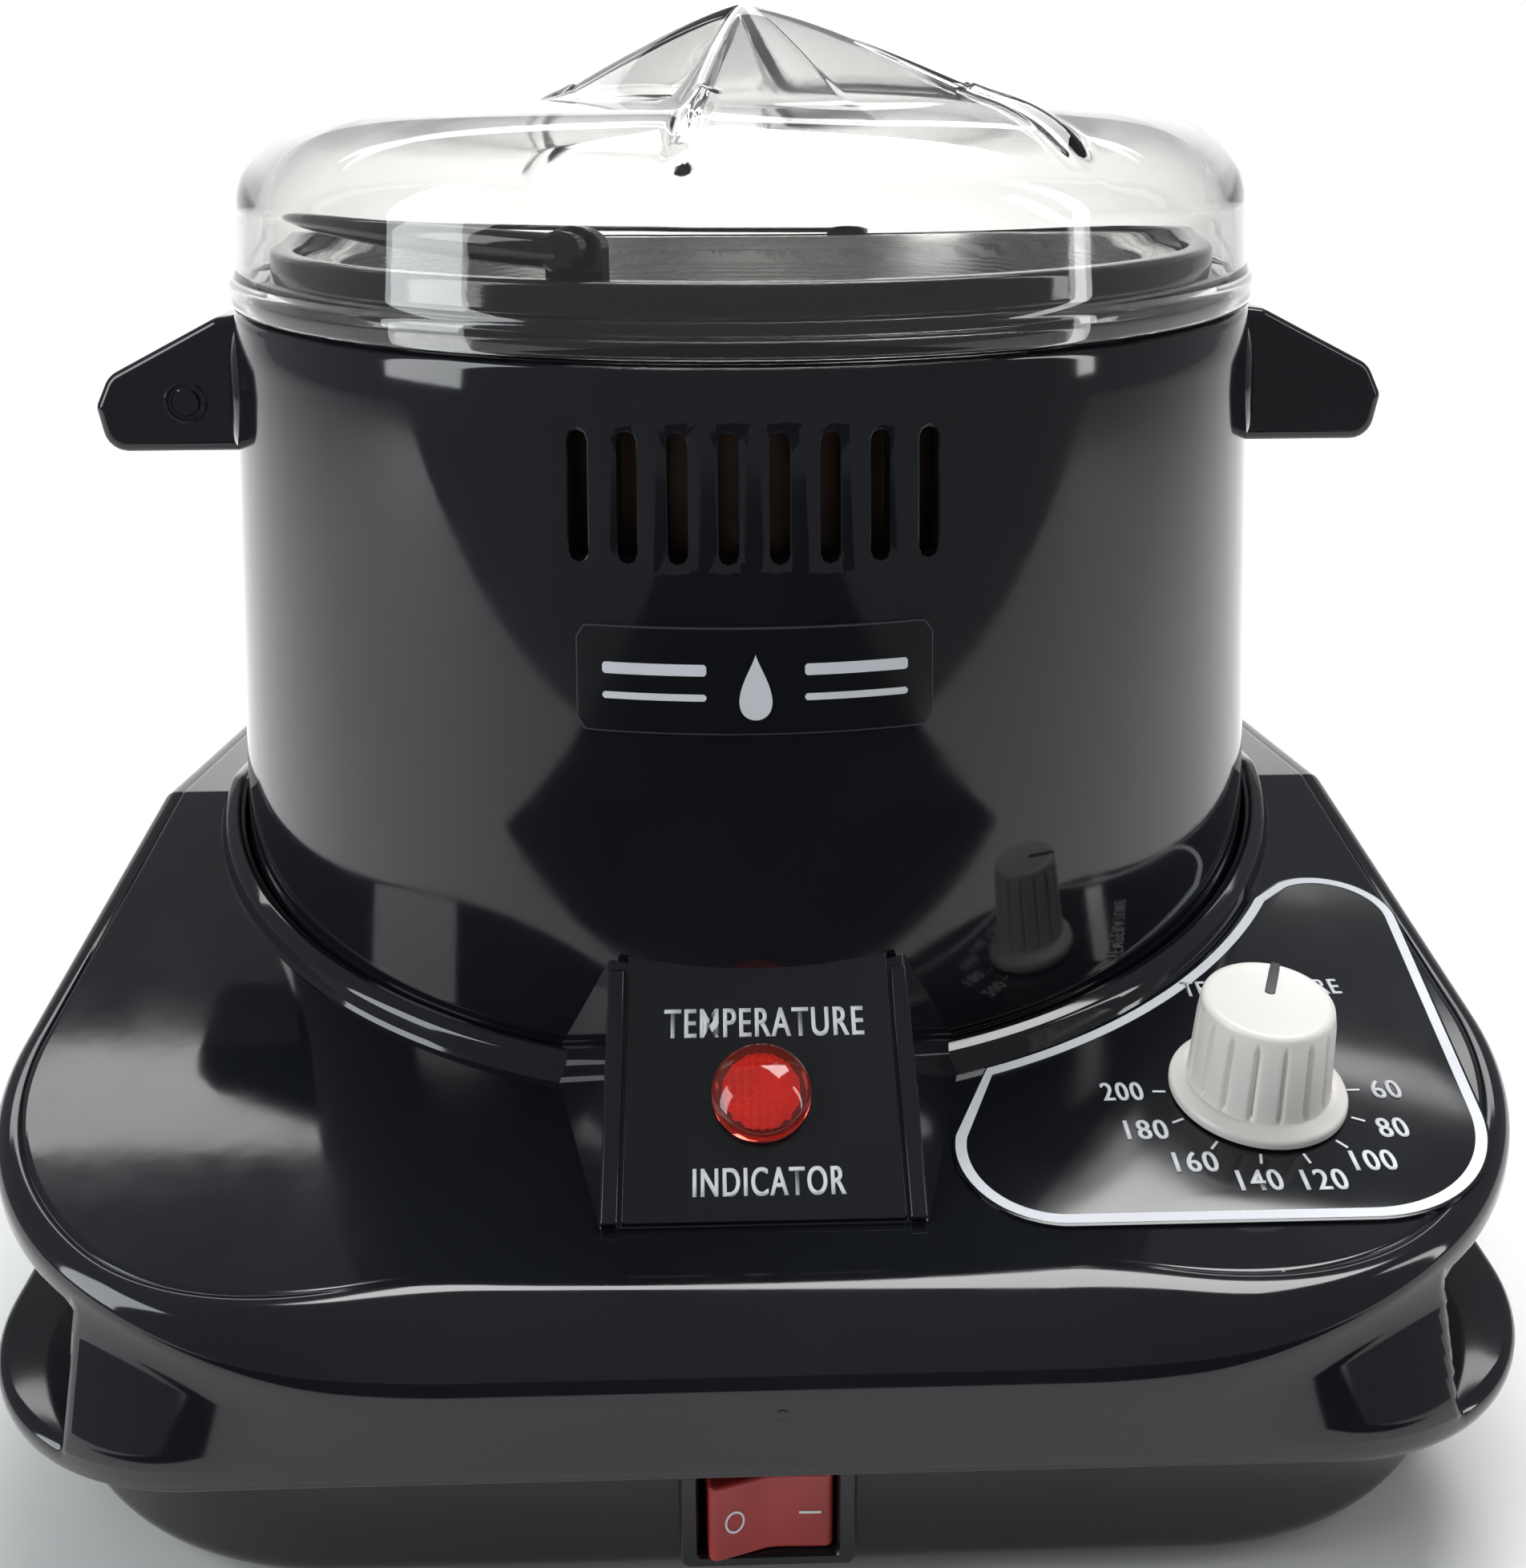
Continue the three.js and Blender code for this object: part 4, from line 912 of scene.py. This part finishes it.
def make_knob():
    turn = dial_frame() @ Matrix.Rotation(math.radians(-POINTER_TURN), 4, "Z")
    flange = rounded([(0, 0.8, 0), (11.35, 0.8, 0.3), (11.35, 2.0, 0.8), (9.8, 2.9, 0.8), (0, 2.9, 0)])
    add_piece("knob_flange", turned(flange, 128), WHITE, "knob", matrix=turn)
    side = ((9.4, 0, 2), (9.2, 0.1, 2.9), (9.1, 0.75, 3.5), (8.65, 0.7, 12.4), (8.55, 0.5, 13.2),
            (8.45, 0.15, 13.8), (8.35, 0, 14.2))
    top = ((7.2, 0), (6.8, 0.12), (0.5, 0.12))
    rings = [knob_ring(radius, depth, z) for radius, depth, z in side]
    rings += [knob_ring(8.35 - inward, 0, KNOB_HEIGHT - down)
              for inward, down in quarter(0.9, 0, 22, 45, 68, 90)]
    rings += [knob_ring(radius, 0, KNOB_HEIGHT - sink) for radius, sink in top]
    add_piece("knob_cap", loft(rings), WHITE, "knob", ["knob"], sharp=40, matrix=turn)
    outline = rounded([(-0.65, 1.2, 0.5), (0.65, 1.2, 0.5), (0.65, 8.2, 0.2), (-0.65, 8.2, 0.2)])
    bar = prism(outline, 13.6, KNOB_HEIGHT + 0.02)
    add_piece("pointer", bar, BLACK, "knob", ["knob_pointer"], bevel=0.12, matrix=turn)


def make_panel():
    """The raised indicator block, its two ribs, face plate and words."""
    back = PANEL_HIGH_Y + 6
    back_z = PANEL_HIGH_Z + 6 * math.tan(PANEL_ANGLE)
    work = bmesh.new()
    back_deck = float(deck_height(back))
    for side in (-1, 1):
        face = side * (PANEL_HALF + 2.2)
        for p in ((face, back, back_z), (face, PANEL_LOW_Y, PANEL_LOW_Z),
                  (face, PANEL_LOW_Y, PANEL_LOW_Z - 2),
                  (side * 29, back, back_deck - 1), (side * 29, back, back_deck - 3)):
            work.verts.new(p)
    bmesh.ops.convex_hull(work, input=work.verts)
    bmesh.ops.dissolve_limit(work, angle_limit=math.radians(1), verts=work.verts, edges=work.edges)
    work.verts.ensure_lookup_table()
    block = ([tuple(v.co) for v in work.verts], [tuple(v.index for v in f.verts) for f in work.faces])
    work.free()
    add_piece("indicator_block", block, GLOSS, "base", bevel=0.5)
    frame_of = panel_frame()
    for side, name in ((-1, "left"), (1, "right")):
        rib = prism(rounded([(-1.1, 0.2, 0.4), (1.1, 0.2, 0.4), (1.1, PANEL_LENGTH - 0.6, 0.4),
                             (-1.1, PANEL_LENGTH - 0.6, 0.4)]), -1, 1.3)
        add_piece(f"indicator_rib_{name}", rib, GLOSS, "base", bevel=0.55,
                  matrix=frame_of @ Matrix.Translation((side * (PANEL_HALF + 1.1), 0, 0)))
    top = PANEL_LENGTH + 2
    outline = rounded([(-17, 0.4, 0.5), (17, 0.4, 0.5), (17, top, 0), (-17, top, 0)])
    add_piece("indicator_face", prism(outline, 0.02, 0.85), LABEL, "base", ["indicator_plate"],
              bevel=0.2, matrix=frame_of)
    on_face = frame_of @ Matrix.Translation((0, 0, 0.88))
    add_words("indicator_word_top", "TEMPERATURE", (0.6, 25.7), 25.4, 4.0, on_face)
    add_words("indicator_word_low", "INDICATOR", (0.7, 5.1), 18.3, 3.5, on_face)


def make_lamp():
    frame_of = panel_frame() @ Matrix.Translation((0, LAMP_ALONG, 0))
    dome = [(0, 1.0), (LAMP_RADIUS, 1.0), (LAMP_RADIUS, 1.9)]
    turns = np.radians(np.linspace(6, 84, 14))
    dome += [(LAMP_RADIUS * math.cos(t), 1.9 + 2.9 * math.sin(t)) for t in turns]
    dome.append((0, 4.8))
    add_piece("lens", turned(dome, 96), LENS, "base", ["lamp_lens"], matrix=frame_of)
    grid = []
    faces = []
    cells = 48
    for i in range(cells + 1):
        for j in range(cells + 1):
            u, v = i / cells * 2 - 1, j / cells * 2 - 1
            # squares the disc so that the grid's edge is round
            x = u * math.sqrt(1 - v * v / 2) * 4.3
            y = v * math.sqrt(1 - u * u / 2) * 4.3
            prisms = abs(math.sin(x * 3.3)) * abs(math.sin(y * 3.3))
            grid.append((x, y, 1.15 + 0.45 * prisms))
    for i in range(cells):
        for j in range(cells):
            a = i * (cells + 1) + j
            faces.append((a, a + cells + 1, a + cells + 2, a + 1))
    prisms_piece = add_piece("lamp_prisms", (grid, faces), GLOW, "base", matrix=frame_of, sharp=30)
    solid = prisms_piece.modifiers.new("thick", "SOLIDIFY")
    solid.thickness = 0.0002


# ---- switch and inlet ------------------------------------------------------------------------------

def make_switch():
    front = PAN_PLAN[1] - GAP
    upright = Matrix.Translation((0, front, SWITCH_Z)) @ Matrix.Rotation(math.radians(90), 4, "X")

    def ring(width, height, radius, lift):
        return [(x, y, lift) for x, y in box_outline(width, height, radius)]

    body = loft([
        ring(16.4, 11.2, 0.4, -8), ring(16.4, 11.2, 0.4, 1.2), ring(17.0, 11.8, 0.6, 1.7),
        ring(20.2, 13.6, 0.9, 1.8), ring(20.8, 14.2, 1.1, 1.5), ring(21, 14.4, 1.2, 0.9),
        ring(21, 14.4, 1.2, 0), ring(18.6, 12.6, 0.6, 0),
        ring(18.6, 12.6, 0.6, -16.5),
    ])
    add_piece("switch_frame", body, BLACK, "base", ["switch_body"], matrix=upright)
    turn = Matrix.Translation((0, front + 1.2, SWITCH_Z)) @ Matrix.Rotation(math.radians(ROCKER_TILT), 4, "Z")
    section = rounded([(-7.3, 2, 0.6), (-7.5, -3.4, 0.9), (0, -2.2, 6), (7.5, -3.4, 0.9), (7.3, 2, 0.6),
                       (0, 5, 2)])
    key = prism(section, -5.3, 5.3)
    add_piece("rocker_key", key, ROCKER, "rocker", ["rocker"], bevel=0.5, matrix=turn)
    left = turn @ Matrix.Translation((-4.4, -2.94, 0)) @ Matrix.Rotation(math.radians(9.1), 4, "Z") \
        @ Matrix.Rotation(math.radians(90), 4, "X")
    right = turn @ Matrix.Translation((4.6, -2.97, 0)) @ Matrix.Rotation(math.radians(-9.1), 4, "Z") \
        @ Matrix.Rotation(math.radians(90), 4, "X")
    mark = turned([(1.15, -0.1), (1.4, -0.1), (1.4, 0.08), (1.15, 0.08)], SMALL)
    off = ([(x * 0.85, y * 1.1, z) for x, y, z in mark[0]], mark[1])
    on = prism(box_outline(2.6, 0.3, 0.1), -0.1, 0.08)
    add_piece("mark_off", off, PRINT, "rocker", matrix=left)
    add_piece("mark_on", on, PRINT, "rocker", matrix=right)


def make_inlet():
    profile = rounded([(3.6, -4, 0.2), (5, -4, 0.2), (5, 3.2, 0), (8, 3.2, 0.5), (7.2, 6.4, 0.6),
                       (5.4, 9, 0.5), (3.6, 9, 0.3)])
    turn = Matrix.Translation((0, PAN_PLAN[2] - 2.9, SWITCH_Z)) @ Matrix.Rotation(math.radians(-90), 4, "X")
    add_piece("inlet_bush", turned(profile, SMALL), BLACK, "base", ["cord_gland"], matrix=turn)


HIDDEN_NODES = {
    "band_heater": MICA, "insulation_sleeve": SLEEVE, "thermal_cutout": CERAMIC, "thermostat_shaft": STEEL,
    "thermostat_nut": BRASS, "thermostat_body": CERAMIC, "lamp_body": BLACK, "lamp_nut": BLACK,
    "terminal_block": CERAMIC,
}


def dress_nodes():
    for name, material in HIDDEN_NODES.items():
        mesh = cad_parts[name].data
        mesh.materials.clear()
        mesh.materials.append(material)


# ---- studio ----------------------------------------------------------------------------------------

def make_floor():
    """A pale table top that curves up into a low backdrop."""
    profile = [(-0.36, 0.0)] + [(y, 0.0) for y in np.linspace(-0.2, 0.9, 8)]
    profile += [(0.9 + 0.5 * math.sin(t), 0.5 * (1 - math.cos(t)))
                for t in np.radians(np.linspace(15, 90, 8))]
    profile += [(1.4, 0.75)]
    points = [(side * 1.6, y, z) for y, z in profile for side in (-1, 1)]
    faces = [(2 * k, 2 * k + 1, 2 * k + 3, 2 * k + 2) for k in range(len(profile) - 1)]
    mesh = bpy.data.meshes.new("floor")
    mesh.from_pydata(points, [], faces)
    mesh.polygons.foreach_set("use_smooth", [True] * len(mesh.polygons))
    paper = finish_of("pale_paper", (0.86, 0.86, 0.855), 0.7, change=0.015, grain=500, bump=0.05, patch=4)
    mesh.materials.append(paper)
    floor = bpy.data.objects.new("floor", mesh)
    scene.collection.objects.link(floor)


def make_dark_card():
    """A dark card lying in front, seen only in the gloss of the casing and the cover's front."""
    points = [(-0.22, -1.1, 0.002), (0.22, -1.1, 0.002), (0.22, -0.2, 0.002), (-0.22, -0.2, 0.002)]
    mesh = bpy.data.meshes.new("dark_card")
    mesh.from_pydata(points, [], [(0, 1, 2, 3)])
    mesh.materials.append(RUBBER)
    card = bpy.data.objects.new("dark_card", mesh)
    card.visible_camera = False
    card.visible_diffuse = False
    card.visible_shadow = False
    card.visible_transmission = False
    scene.collection.objects.link(card)


def area_light(name, place, target, size, power, colour=(1, 1, 1)):
    data = bpy.data.lights.new(name, "AREA")
    data.shape = "RECTANGLE"
    data.size, data.size_y = size
    data.energy = power
    data.color = colour
    light = bpy.data.objects.new(name, data)
    scene.collection.objects.link(light)
    light.location = place
    light.rotation_mode = "QUATERNION"
    light.rotation_quaternion = (Vector(target) - Vector(place)).to_track_quat("-Z", "Y")


def make_light():
    world = bpy.data.worlds.new("studio")
    scene.world = world
    world.use_nodes = True
    background = world.node_tree.nodes["Background"]
    background.inputs["Color"].default_value = (0.92, 0.96, 1.0, 1)
    background.inputs["Strength"].default_value = 0.27
    area_light("overhead", (0.15, 0.3, 1.1), (0, 0.1, 0), (0.9, 0.45), 14)
    area_light("left_window", (-0.95, -0.35, 0.55), (0, 0.02, 0.08), (0.4, 0.9), 7, (0.95, 0.98, 1.0))
    area_light("right_strip", (0.85, -0.25, 0.5), (0, 0.02, 0.08), (0.08, 0.8), 1.5)
    area_light("backdrop", (0, 0.75, 0.9), (0, 1.3, 0.1), (1.6, 0.4), 9)
    scene.view_settings.view_transform = "Standard"


make_cover()
make_bead()
make_pan()
make_gate_mark()
make_feet()
make_casing()
make_collar()
make_handles()
make_name_plate()
make_cups()
make_bail()
make_lid()
make_dial()
make_knob()
make_panel()
make_lamp()
make_switch()
make_inlet()
dress_nodes()
make_floor()
make_dark_card()
make_light()
